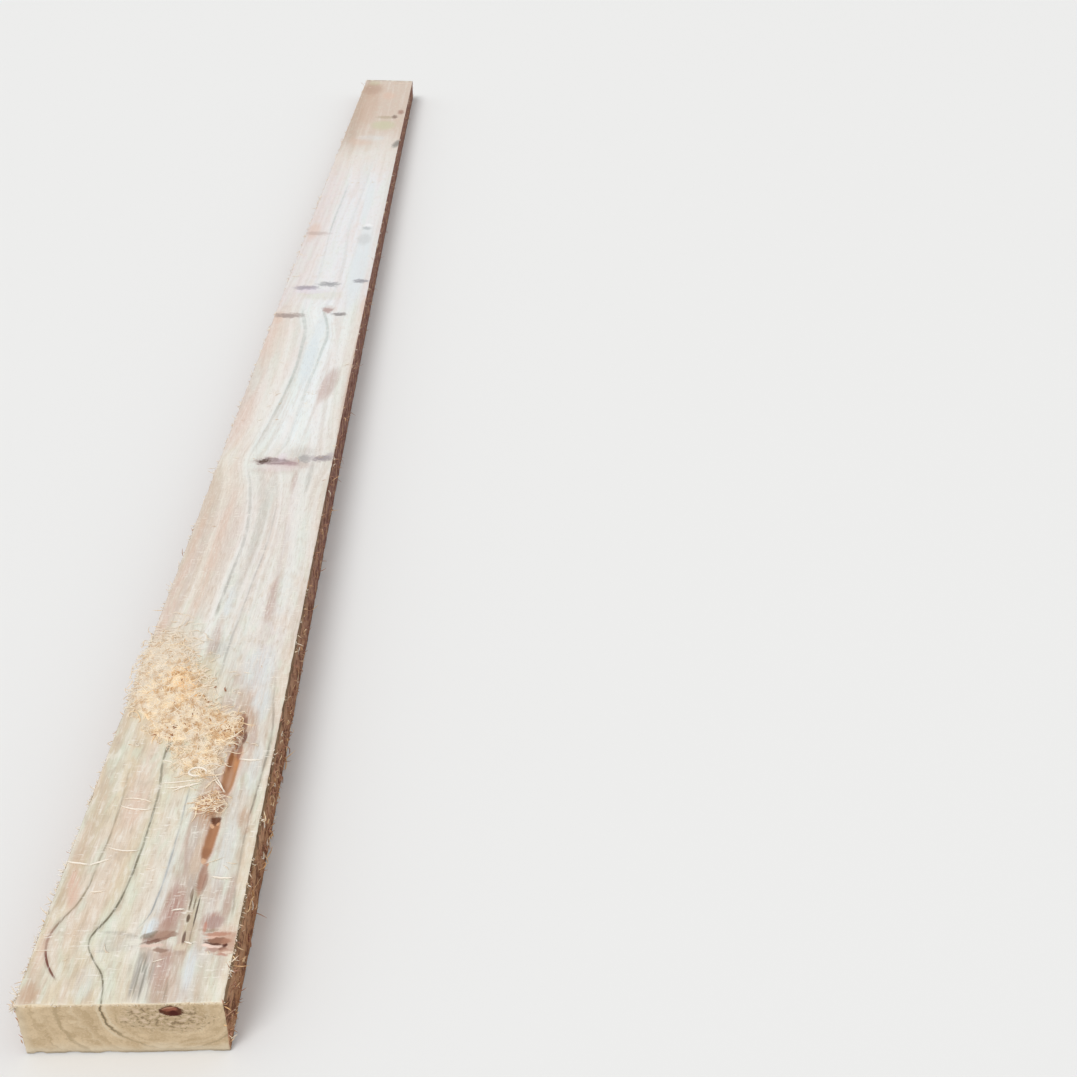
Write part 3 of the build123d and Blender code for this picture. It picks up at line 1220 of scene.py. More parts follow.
    def _end(self, coat: Coat, wood: Heartwood) -> None:
        """Give the ends their end grain: mottled, with faint arcs of rings and the pith's dark spot.

        Their borders are pale, partly from worn fibres and partly as painted highlight.

        Args:
            coat: The coat to lay it on.
            wood: The tree inside the plank.
        """
        graph, x, z, age = coat.graph, coat.x, coat.z, coat.age
        soft = graph.noise(graph.vector(x / 17, 2.0, z / 12), 3, 0.6)
        fine = graph.noise(graph.vector(x / 1.7, 9.0, z / 1.7), 4, 0.65)
        base = graph.mix(graph.rise(soft, 0.36, 0.64), self.end_grain, self.end_shade)
        end = replace(coat, colour=base)
        arcs = graph.noise(graph.vector((age + soft * 26) / 5.5, 3.0, 1.0), 2, 0.5)
        end.wash(arcs, *self.end_arcs)
        end.wash(fine, *self.end_specks)
        inner = graph.fall(self.heart.measure(x, z) + (soft + fine - 1) * 2.4, 0.3, 1.4)
        worms = graph.noise(graph.vector(x / 5 + soft * 3, 4.0, z / 3.4), 2, 0.6)
        end.lay(inner * 0.4, self.end_heart)
        end.wash(worms, *self.end_worms, weight=inner)
        drifted = age + (soft - 0.5) * 7 + (fine - 0.5) * 3
        gap = abs(drifted - wood.second_age)
        line = graph.fall(gap, 0.4, 1.4, 0.85) * (graph.fall(x, -14, 4, 0.7) + 0.3)
        end.lay(line, self.end_line)
        end.lay(graph.fall(abs(gap - 2.6), 0.4, 1.2, 0.5) * graph.fall(x, -8, 4), self.end_pale_and_highlight)
        end.wash(abs(drifted - wood.third_age), self.third_line)
        # Pale borders at the top, left and bottom of the end: partly worn fibres, partly painted highlight.
        end.lay(graph.rise(z + (fine - 0.5) * 6, -3.2, -1.2, 0.7), self.end_pale_and_highlight)
        end.lay(graph.fall(x + (fine - 0.5) * 9, -74, -66, 0.6), self.end_pale_and_highlight)
        end.lay(graph.fall(z + (soft - 0.5) * 20, -52, -42, 0.6), self.end_pale_and_highlight)
        for oval, wash in self.pith:
            end.wash(oval.measure(x, z) + (fine - 0.5) * 1.4, wash)
        coat.lay(graph.rise(abs(graph.normal()[1]), *self.end_facing), end.colour)


@dataclass
class SawnPlank:
    """The plank itself, as one closed skin on a box grid. Sizes are in millimetres.

    The steps are the gaps between grid lines. Along the plank they are near_step up to near_reach,
    and then grow by step_growth for each millimetre. Across it they change from left_step to
    right_step in finer_between, and to edge_step in the edge_zone.
    """

    blank: Blank
    wood: Heartwood = field(default_factory=Heartwood)
    finish: SawnSoftwood = field(default_factory=SawnSoftwood)
    arris: float = 1.3
    near_step: float = 2.0
    near_reach: float = 260.0
    step_growth: float = 0.0082
    left_step: float = 3.2
    right_step: float = 1.7
    edge_step: float = 1.2
    low_level_step: float = 4.2
    high_level_step: float = 2.2
    long_knot_at: float = 858.0
    long_knot_reach: float = 24.0
    finer_between: Span = (70.0, 86.0)
    edge_zone: Span = (5.0, 1.0)
    wave_depth: float = 0.3
    mark_depth: float = 0.22
    mark_pitch: float = 33.0
    fibre_depth: float = 0.16
    pit_depth: float = 1.6
    hollows: tuple[Hollow, ...] = (
        Hollow(223, 39, 190, 11, 3.5, -2.4),
        Hollow(115, 37, 66, 5, 2, -1.5),
        Hollow(62, 15.5, 24, 6, 2, 90),
        Hollow(56, 62, 21, 7, 2.5, 90),
        Hollow(858, -1.5, 46, 10, 2, 90),
    )
    pith_spot: Hollow = Hollow(-8.5, 36, 14, 9, 2.5, 90)

    @staticmethod
    def _graded(length: float, steps: Array) -> Array:
        """Place grid lines so that their gaps follow the step wanted at each place.

        Args:
            length: How far the lines run, from 0.
            steps: Step wanted at evenly spaced places along it.

        Returns:
            Places of the lines, from 0 to length.
        """
        place = np.linspace(0, length, len(steps))
        count = np.concatenate([[0], np.cumsum(np.diff(place) / ((steps[1:] + steps[:-1]) / 2))])
        return np.interp(np.linspace(0, count[-1], round(count[-1]) + 1), count, place)

    def _box_grid(self) -> tuple[Array, list[Array]]:
        """Cover a plain box with grids that share the vertices along its edges.

        Returns:
            Vertices as (offset from the bowed middle line, distance, height) and quads.
        """
        width = self.blank.width
        probe = np.linspace(0, self.blank.length, 2400)
        steps = self.near_step + self.step_growth * np.maximum(probe - self.near_reach, 0)
        steps = steps * (1 - 0.5 * np.exp(-(((probe - self.long_knot_at) / self.long_knot_reach) ** 2)))
        rows = self._graded(self.blank.length, steps)
        probe = np.linspace(0, width, 600)
        right = smooth(*self.finer_between, probe)
        plain = self.left_step + (self.right_step - self.left_step) * right
        edge = smooth(*self.edge_zone, np.minimum(probe, width - probe))
        columns = self._graded(width, plain + (self.edge_step - plain) * edge)
        levels = self._graded(self.blank.top, np.linspace(self.low_level_step, self.high_level_step, 99))
        shape = (len(columns), len(rows), len(levels))
        shell = np.zeros(shape, bool)
        shell[[0, -1]] = True
        shell[:, [0, -1]] = True
        shell[:, :, [0, -1]] = True
        number = -np.ones(shape, int)
        number[shell] = np.arange(shell.sum())
        i, j, k = np.nonzero(shell)
        points = np.column_stack([columns[i] - width / 2, rows[j], levels[k]])
        faces = [
            quads(number[:, :, -1]),
            quads(number[:, :, 0])[:, ::-1],
            quads(number[-1]),
            quads(number[0])[:, ::-1],
            quads(number[:, 0]),
            quads(number[:, -1])[:, ::-1],
        ]
        return points, faces

    def _relief(self, p: Array, normal: Array) -> tuple[Array, Array, Array]:
        """How far each point is worn or torn in, in millimetres.

        It is the sum of slow hand-sized waves, saw marks that come and go, fibres along the grain,
        a ragged loss along the arrises, pits in the sides, and the hollows. The saw marks are
        narrow ridges, 1 - |sin|^0.5.

        Args:
            p: Points as (offset, distance, height).
            normal: Outward direction at each point.

        Returns:
            Depths below the plain surface, none of them negative; how worn each point is, which also
            sets the painted highlight along the arrises; and how deep it lies in a pit, from 0 to 1, which
            also sets the painted shade in the pits.
        """
        width = self.blank.width
        waves = self.wave_depth * (1 + Noise(11).at(p, (45, 160, 30)))
        marks = np.abs(np.sin(p[:, 1] * math.pi / self.mark_pitch + 0.8 * Noise(12).at(p, (60, 90, 25))))
        marks = self.mark_depth * (1 - marks**0.5) * smooth(-0.3, 0.6, Noise(13).at(p, (25, 70, 25)))
        fibres = self.fibre_depth * (1 + Noise(14).at(p, (2.4, 22, 2.4)))
        fibres = fibres + 0.12 * Noise(15).at(p, (4, 9, 4))
        corner = smooth(0.02, 0.28, 1 - np.max(np.abs(normal), axis=1))
        ragged = np.clip(Noise(16).at(p, (8, 7, 8)) + 0.6 * Noise(17).at(p, (4, 3.5, 4)), 0, 1)
        left = smooth(0, -width / 2, p[:, 0])
        loss = corner * ragged * (0.8 + 1.3 * left)
        torn = Noise(18).at(p, (9, 9, 5)) + 0.7 * Noise(19).at(p, (4, 4, 3))
        pit = smooth(0.35, 1.0, torn) * smooth(0.8, 0.95, np.abs(normal[:, 0]))
        cut = np.max([h.at(p[:, 0], p[:, 1]) for h in self.hollows], axis=0)
        cut = cut * smooth(0.6, 0.95, normal[:, 2])
        spot = self.pith_spot.at(p[:, 0], p[:, 2] - self.blank.top) * smooth(0.6, 0.95, -normal[:, 1])
        depth = np.maximum(waves + fibres - marks, 0) + loss + cut + spot + self.pit_depth * pit
        return depth, corner * (0.35 + ragged), pit

    def build(self) -> bpy.types.Object:
        """Make the plank.

        The box grid is rounded at its edges: each point is the nearest point of the box inset by
        the arris, moved out by the arris along the way to it. It is then worn along that way,
        bowed sideways by a parabola, and its ends are skewed.

        Returns:
            The plank, in its finish.
        """
        blank = self.blank
        points, faces = self._box_grid()
        half = np.array([blank.width / 2, blank.length / 2, blank.top / 2])
        middle = np.array([0, blank.length / 2, blank.top / 2])
        inner = np.clip(points - middle, -half + self.arris, half - self.arris)
        out = points - middle - inner
        normal = out / np.linalg.norm(out, axis=1, keepdims=True)
        rounded = middle + inner + normal * self.arris
        depth, worn, pit = self._relief(rounded, normal)
        place = rounded - normal * depth[:, None]
        t, side = place[:, 1] / blank.length, place[:, 0] / blank.width
        place[:, 0] -= blank.bow(place[:, 1])
        place[:, 1] += (1 - t) * blank.near_skew * (0.5 - side) - t * blank.far_skew * (0.5 + side)
        across, along = place[:, 0], place[:, 1]
        age, share = self.wood.ages(across, along, place[:, 2] - blank.top)
        plank = add_mesh("sawn_plank", blank.world(place), faces)
        # worn also carries the painted highlight of the arrises, and pit the painted shade of the pits.
        fields = {"age": age, "right_share": share, "worn": worn, "pit": pit}
        for number, ring in enumerate(self.finish.rings):
            fields[f"ring_{number}"] = ring.strength(along, share)
        for tint, patches in self.finish.tints:
            amounts = [p.strength * smooth(1.5, 0.25, p.measure(across, along)) for p in patches]
            fields[tint.name.lower()] = np.max(amounts, axis=0)
        for name, values in fields.items():
            add_attribute(plank, name, values)
        plank.data.materials.append(self.finish.material(self.wood, blank))
        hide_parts(NODE)
        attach(plank, BODY)
        return plank


@dataclass(frozen=True)
class Shaving:
    """The look of dry shavings and torn fibres, in display colours.

    They are thin enough to let light through. The glow is painted light that stands for it: they
    give off light of their own colour though they are no lamp, which also fills their shade. The
    body is the share of the light falling on them that they scatter back.
    """

    white: Rgb = (226, 216, 200)
    pale: Rgb = (234, 220, 200)
    straw: Rgb = (243, 227, 199)
    yellow: Rgb = (246, 218, 178)
    orange: Rgb = (236, 188, 134)
    brown: Rgb = (136, 88, 58)
    rose: Rgb = (184, 136, 114)
    shade: Wash = Wash(0.45, 0.65, 0.8, (198, 160, 118))
    glow: float = 0.56
    body: float = 0.55
    roughness: float = 0.75
    specular: float = 0.2

    def material(self, name: str) -> bpy.types.Material:
        """Build the material: the tone stored on each fibre picks its colour, and some are shaded.

        Args:
            name: Name of the material.

        Returns:
            The material.
        """
        graph = Graph(name)
        x, y, z = graph.place()
        grain = graph.noise(graph.vector(x / 11, y / 15, z / 11), 2, 0.5)
        stored = graph.attribute("tone")
        tone = stored + (grain - 0.5) * graph.rise(stored, 0.12, 0.3, 0.8)
        colours = (self.white, self.pale, self.straw, self.yellow, self.orange, self.brown, self.rose)
        stops = list(zip((0.05, 0.18, 0.34, 0.5, 0.66, 0.82, 0.98), colours))
        colour = graph.ramp(tone, stops)
        gaps = graph.noise(graph.vector(x / 7 + 30, y / 9, z / 7), 4, 0.62)
        shaded = self.shade.amount(graph, gaps) * graph.rise(stored, 0.05, 0.16)
        colour = graph.mix(shaded, colour, self.shade.colour)
        # Painted light: the shavings glow in their own colour, though they are no lamp.
        graph.feed(graph.shader.inputs["Emission Color"], colour)
        graph.feed(graph.shader.inputs["Emission Strength"], self.glow)
        return graph.close(graph.mix(1 - self.body, colour, (0, 0, 0)), self.roughness, self.specular)


@dataclass
class Strands:
    """A bundle of thin ribbons, each with three sides, as one piece on the plank.

    The sides are square to the lines and to upward, which is a little off the vertical.
    """

    name: str
    blank: Blank
    material: bpy.types.Material
    lines: list[Array] = field(default_factory=list)
    radii: list[Array] = field(default_factory=list)
    tones: list[Array] = field(default_factory=list)
    rolls: list[Array] = field(default_factory=list)
    flatness: float = 0.75
    taper: float = 0.8
    upward: tuple[float, float, float] = (0.13, 0.07, 1.0)

    def add(self, lines: Array, radius: Array, tone: Array, roll: Array | float = 0.0) -> None:
        """Add ribbons by their middle lines.

        Args:
            lines: Places on the blank: one row of points for each ribbon.
            radius: Half the width of each ribbon, in millimetres.
            tone: One tone for each ribbon.
            roll: How far each ribbon twists from one end to the other, in radians.
        """
        self.lines.append(lines)
        self.radii.append(radius)
        self.tones.append(tone)
        self.rolls.append(np.broadcast_to(roll, len(lines)))

    def _ribbons(
        self, lines: Array, radius: Array, roll: Array, offset: int
    ) -> tuple[Array, list[Array]]:
        """Sweep a flattened, slowly twisting triangle along each line, thinner by 1 - taper |s|^3.

        Args:
            lines: Middle lines.
            radius: Half widths.
            roll: Twists.
            offset: Number of the first vertex.

        Returns:
            Vertices, and arrays of side faces and of the faces that close both ends.
        """
        count, steps = lines.shape[:2]
        s = np.linspace(-1, 1, steps)
        ahead = np.gradient(lines, axis=1)
        ahead /= np.linalg.norm(ahead, axis=2, keepdims=True)
        side = np.cross(ahead, self.upward)
        side /= np.linalg.norm(side, axis=2, keepdims=True)
        up = np.cross(side, ahead)
        twist = (roll[:, None] * s)[..., None]
        side, up = side * np.cos(twist) + up * np.sin(twist), up * np.cos(twist) - side * np.sin(twist)
        angle = (np.arange(3) * 2 / 3 + 0.5)[:, None] * math.pi
        ring = side[:, :, None] * np.cos(angle) + up[:, :, None] * np.sin(angle) * self.flatness
        size = radius[:, None] * (1 - self.taper * np.abs(s) ** 3)
        points = lines[:, :, None] + ring * size[:, :, None, None]
        number = offset + np.arange(count * steps * 3).reshape(count, steps, 3)
        near, far = number[:, :-1], number[:, 1:]
        sides = np.stack([near, far, np.roll(far, -1, 2), np.roll(near, -1, 2)], -1)
        return points.reshape(-1, 3), [sides.reshape(-1, 4), number[:, 0], number[:, -1, ::-1]]

    def build(self) -> bpy.types.Object:
        """Make the piece from all ribbons added so far.

        Returns:
            The piece, in its material.
        """
        points, faces, tones, offset = [], [], [], 0
        for lines, radius, tone, roll in zip(self.lines, self.radii, self.tones, self.rolls):
            made, closed = self._ribbons(lines, radius, roll, offset)
            points.append(made)
            faces += closed
            tones.append(np.repeat(tone, lines.shape[1] * 3))
            offset += len(made)
        bundle = add_mesh(self.name, self.blank.world(np.concatenate(points)), faces)
        add_attribute(bundle, "tone", np.concatenate(tones))
        bundle.data.materials.append(self.material)
        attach(bundle, BODY)
        return bundle


def curl(
    rng: np.random.Generator,
    middle: Array,
    length: Array,
    turn: Array,
    steps: int,
    tilt: float,
    start: Array | None = None,
) -> Array:
    """Lay curled middle lines around their middles.

    The heading along a line is its start, plus its turn times the distance s from 0 to 1, plus a
    random wag 0.5 sin(2 pi (1.3 s + phase)). Each curl lies in a plane that leans by a
    random slope, on top of which its height waves a little.

    Args:
        rng: Source of random numbers.
        middle: Places of the middles of the lines.
        length: Length of each line, in millimetres.
        turn: Whole turn of each line, in radians.
        steps: Points on each line.
        tilt: Typical slope of a line's plane.
        start: First heading of each line, in radians. Left out, it is random.

    Returns:
        One row of points for each line.
    """
    count = len(middle)
    heading, phase, wave = rng.uniform(0, 2 * math.pi, (3, count, 1))
    if start is not None:
        heading = start[:, None]
    s = np.linspace(0, 1, steps)
    heading = heading + turn[:, None] * s + 0.5 * np.sin(2 * math.pi * 1.3 * s + phase)
    step = (length / (steps - 1))[:, None]
    plan = np.stack([np.cos(heading) * step, np.sin(heading) * step], -1).cumsum(1)
    plan -= plan.mean(1, keepdims=True)
    lean = rng.normal(0, tilt, (count, 1, 2))
    height = (plan * lean).sum(-1) + 0.6 * np.sin(2 * math.pi * 1.2 * s + wave)
    return middle[:, None] + np.concatenate([plan, height[..., None]], -1)


@dataclass(frozen=True)
class Mound(Oval):
    """A gentle heap: its height in millimetres, its share of the curls and their middle tone.

    The curls lie scattered over scatter_share of its half sizes, as a standard deviation.
    """

    height: float = 1.0
    share: float = 1.0
    tone: float = 0.3
    scatter_share: float = field(default=0.55, kw_only=True)

    def at(self, across: Array, along: Array) -> Array:
        """Height of the heap: height times exp(-m), where m is the oval's measure."""
        return self.height * np.exp(-self.measure(across, along))

    def scatter(self, rng: np.random.Generator, count: int) -> Array:
        """Throw points over the heap, densest in the middle, by a normal distribution.

        Args:
            rng: Source of random numbers.
            count: How many points.

        Returns:
            Points as (offset, distance).
        """
        u, v = rng.normal(0, self.scatter_share, (2, count)) * [[self.reach], [self.spread]]
        cos, sin = math.cos(math.radians(self.turn)), math.sin(math.radians(self.turn))
        return np.column_stack([self.across + v * cos - u * sin, self.along + u * cos + v * sin])


@dataclass(frozen=True)
class Curls:
    """One kind of curl: how many, their lengths in millimetres and their mean turn in radians.

    Each has so many points, and they lie as steeply as the tilt says.
    """

    count: int
    lengths: Span
    turn: float
    steps: int
    tilt: float


@dataclass
class ShavingHeap:
    """The heap of curled shavings on the near part of the top face, in millimetres.

    It has curls thrown over its mounds, fibres combed across it, each with an oval, a count and a
    tone, and brown specks, each with a place and a count. None rises above the headroom or
    reaches further past the left arris than the overhang.
    """

    blank: Blank
    material: bpy.types.Material
    kinds: tuple[Curls, Curls] = (
        Curls(2500, (7, 20), 5.0, 8, 0.45),
        Curls(480, (18, 46), 3.2, 15, 0.22),
    )
    half_widths: Span = (0.4, 0.72)
    combed_lengths: Span = (9, 26)
    combed_half_widths: Span = (0.4, 0.7)
    speck_lengths: Span = (2.5, 6)
    speck_half_widths: Span = (0.6, 1.0)
    speck_tone: float = 0.82
    deepest_tone: float = 0.66
    speck_places: tuple[tuple[Mound, int], ...] = (
        (Mound(314, -10, 20, 26), 20), (Mound(306, 22, 12, 12), 50), (Mound(298, 37, 18, 4), 26),
        (Mound(304, -21, 2.6, 2.2), 7), (Mound(293.5, -22.5, 2.2, 2), 5), (Mound(386, -26, 12, 6), 10),
        (Mound(205, 28, 9, 9), 22), (Mound(352, 4, 16, 8), 6),
    )
    headroom: float = 10.5
    overhang: float = 7.0
    bed_cells: tuple[int, int] = (60, 90)
    bed_across: Span = (-74, 58)
    bed_along: Span = (250, 470)
    bed_depth: float = 6.0
    bed_tone: float = 0.3
    open_channel: Oval = Oval(248, 40, 32, 8)
    mounds: tuple[Mound, ...] = (
        Mound(315, -11, 22, 27, 4.8, 0.24, 0.28, turn=8),
        Mound(308, 22, 15, 12, 2.4, 0.05, 0.36),
        Mound(370, -30, 24, 11, 7.5, 0.12, 0.5, turn=20),
        Mound(350, -36, 38, 22, 6.2, 0.24, 0.3, turn=24),
        Mound(410, -54, 36, 20, 3.2, 0.13, 0.14, turn=12),
        Mound(374, -62, 28, 11, 2.2, 0.05, 0.14),
        Mound(268, 8, 22, 17, 1.4, 0.07, 0.26),
        Mound(205, 28, 9, 9, 1.0, 0.008, 0.26),
        Mound(384, -40, 58, 38, 1.2, 0.05, 0.12, turn=14),
    )
    combed: tuple[tuple[Oval, int, float], ...] = (
        (Oval(430, -54, 50, 26), 150, 0.1), (Oval(266, 8, 28, 20), 70, 0.2),
        (Oval(304, 20, 26, 16), 40, 0.3), (Oval(376, -62, 40, 12), 50, 0.12),
        (Oval(376, -18, 34, 16), 60, 0.16), (Oval(206, 26, 11, 13), 34, 0.2),
        (Oval(206, 27, 10, 12), 7, 0.76), (Oval(300, 30, 26, 9), 14, 0.12),
    )

    def __post_init__(self) -> None:
        """Start the random draws."""
        self.rng = np.random.default_rng(5)

    def _height(self, across: Array, along: Array) -> Array:
        """Height of all mounds together above the top face."""
        return np.max([m.at(across, along) for m in self.mounds], axis=0)

    def _fibres(self) -> bpy.types.Object:
        """Make the curls and the brown specks, thrown at random over the mounds.

        Returns:
            The curls and specks, as one piece.
        """
        heap = Strands("shaving_heap", self.blank, self.material)
        for kind in self.kinds:
            self._throw(heap, kind)
        for oval, count, tone in self.combed:
            self._comb(heap, oval, count, tone)
        rng = self.rng
        plan = np.concatenate([place.scatter(rng, count) for place, count in self.speck_places])
        count = len(plan)
        middle = self._pile(plan, np.full(count, 1.1))
        lines = curl(rng, middle, rng.uniform(*self.speck_lengths, count), rng.normal(0, 1, count), 4, 0.4)
        heap.add(lines, rng.uniform(*self.speck_half_widths, count), np.full(count, self.speck_tone))
        return heap.build()

    def _throw(self, heap: Strands, kind: Curls) -> None:
        """Throw curls over the mounds, apart from the open channel.

        Their turns follow a gamma distribution of shape 3, to either side.

        Args:
            heap: The bundle to add them to.
            kind: What they are like.
        """
        rng = self.rng
        groups = [(m, m.scatter(rng, round(m.share * kind.count))) for m in self.mounds]
        plan = np.concatenate([g for _, g in groups])
        tone = np.concatenate([np.full(len(g), m.tone) for m, g in groups])
        kept = self.open_channel.measure(*plan.T) > 1
        plan, tone = plan[kept], tone[kept]
        count = len(plan)
        turn = rng.choice([-1, 1], count) * rng.gamma(3, kind.turn / 3, count)
        middle = self._pile(plan, rng.uniform(0.1, 1, count) ** 0.7)
        lines = curl(rng, middle, rng.uniform(*kind.lengths, count), turn, kind.steps, kind.tilt)
        self._settle(lines)
        tone = (tone + rng.normal(0, 0.08, count)).clip(0, self.deepest_tone)
        heap.add(lines, rng.uniform(*self.half_widths, count), tone, rng.normal(0, 1.2, count))

    def _comb(self, heap: Strands, oval: Oval, count: int, tone: float) -> None:
        """Lay nearly straight fibres across the plank, near the surface of the heap.

        Args:
            heap: The bundle to add them to.
            oval: Where they lie, about two thirds of them inside it.
            count: How many.
            tone: Their middle tone.
        """
        rng = self.rng
        plan = rng.normal(0, 0.5, (count, 2)) * (oval.spread, oval.reach) + (oval.across, oval.along)
        middle = self._pile(plan, rng.uniform(0.7, 1.0, count))
        start = rng.choice([0, math.pi], count) + rng.normal(-0.1, 0.3, count)
        length, turn = rng.uniform(*self.combed_lengths, count), rng.normal(0, 0.6, count)
        lines = curl(rng, middle, length, turn, 8, 0.06, start)
        self._settle(lines)
        half_width = rng.uniform(*self.combed_half_widths, count)
        heap.add(lines, half_width, tone + rng.normal(0, 0.06, count))

    def _pile(self, plan: Array, layer: Array) -> Array:
        """Lift points into the heap.

        Args:
            plan: Points as (offset, distance).
            layer: Where in the heap each one lies, from 0 at its foot to 1 at its surface.

        Returns:
            The same points with their heights.
        """
        height = self._height(*plan.T) * layer + self.rng.uniform(0.4, 1.4, len(plan))
        return np.column_stack([plan, self.blank.top + height])

    def _settle(self, lines: Array) -> None:
        """Keep curls between the top face and the headroom; past the left arris they droop.

        Args:
            lines: The curls, which are changed in place.
        """
        left = -self.blank.width / 2
        furthest = left - self.overhang + 0.15 * (lines[..., 0] - left)
        lines[..., 0] = np.maximum(lines[..., 0], furthest)
        over = np.clip(left - lines[..., 0], 0, None)
        low = self.blank.top + 0.35 - over * 0.6
        lines[..., 2] = np.clip(lines[..., 2] - over * 0.5, low, self.blank.top + self.headroom)

    def _bed(self) -> bpy.types.Object:
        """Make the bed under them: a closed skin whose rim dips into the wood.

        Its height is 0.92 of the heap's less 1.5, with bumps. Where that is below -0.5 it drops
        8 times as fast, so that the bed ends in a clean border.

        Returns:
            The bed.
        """
        nx, ny = self.bed_cells
        u, v = np.meshgrid(np.linspace(0, 1, nx + 1), np.linspace(0, 1, ny + 1), indexing="ij")
        (left, right), (near, far) = self.bed_across, self.bed_along
        across, along = left + (right - left) * u, near + (far - near) * v
        flat = np.stack([across, along, np.zeros_like(across)], -1)
        bumps = 0.8 * Noise(31).at(flat, (7, 8, 1)) + 0.4 * Noise(32).at(flat, (3, 3.4, 1))
        height = 0.92 * self._height(across, along) - 1.5
        height = height + bumps * smooth(-1, 1.5, height)
        rim = np.minimum(np.minimum(u, 1 - u) * nx, np.minimum(v, 1 - v) * ny)
        height = np.where(height < -0.5, 8 * height + 3.5, height).clip(0.5 - self.bed_depth)
        height = np.where(rim < 1, -self.bed_depth, height)
        upper = np.stack([across, along, self.blank.top + height], -1)
        lower = upper.copy()
        lower[..., 2] = self.blank.top - self.bed_depth
        number = np.arange((nx + 1) * (ny + 1)).reshape(nx + 1, ny + 1)
        below = number.copy()
        inner = (slice(1, -1), slice(1, -1))
        below[inner] = number.size + np.arange((nx - 1) * (ny - 1)).reshape(nx - 1, ny - 1)
        points = np.concatenate([upper.reshape(-1, 3), lower[inner].reshape(-1, 3)])
        bed = add_mesh("packed_shavings", self.blank.world(points), [quads(number), quads(below)[:, ::-1]])
        under = np.full((nx - 1) * (ny - 1), self.bed_tone)
        tone = np.concatenate([self.bed_tone - 0.1 * bumps.ravel(), under])
        add_attribute(bed, "tone", tone)
        bed.data.materials.append(self.material)
        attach(bed, BODY)
        return bed

    def build(self) -> list[bpy.types.Object]:
        """Make the bed and the curls."""
        return [self._bed(), self._fibres()]


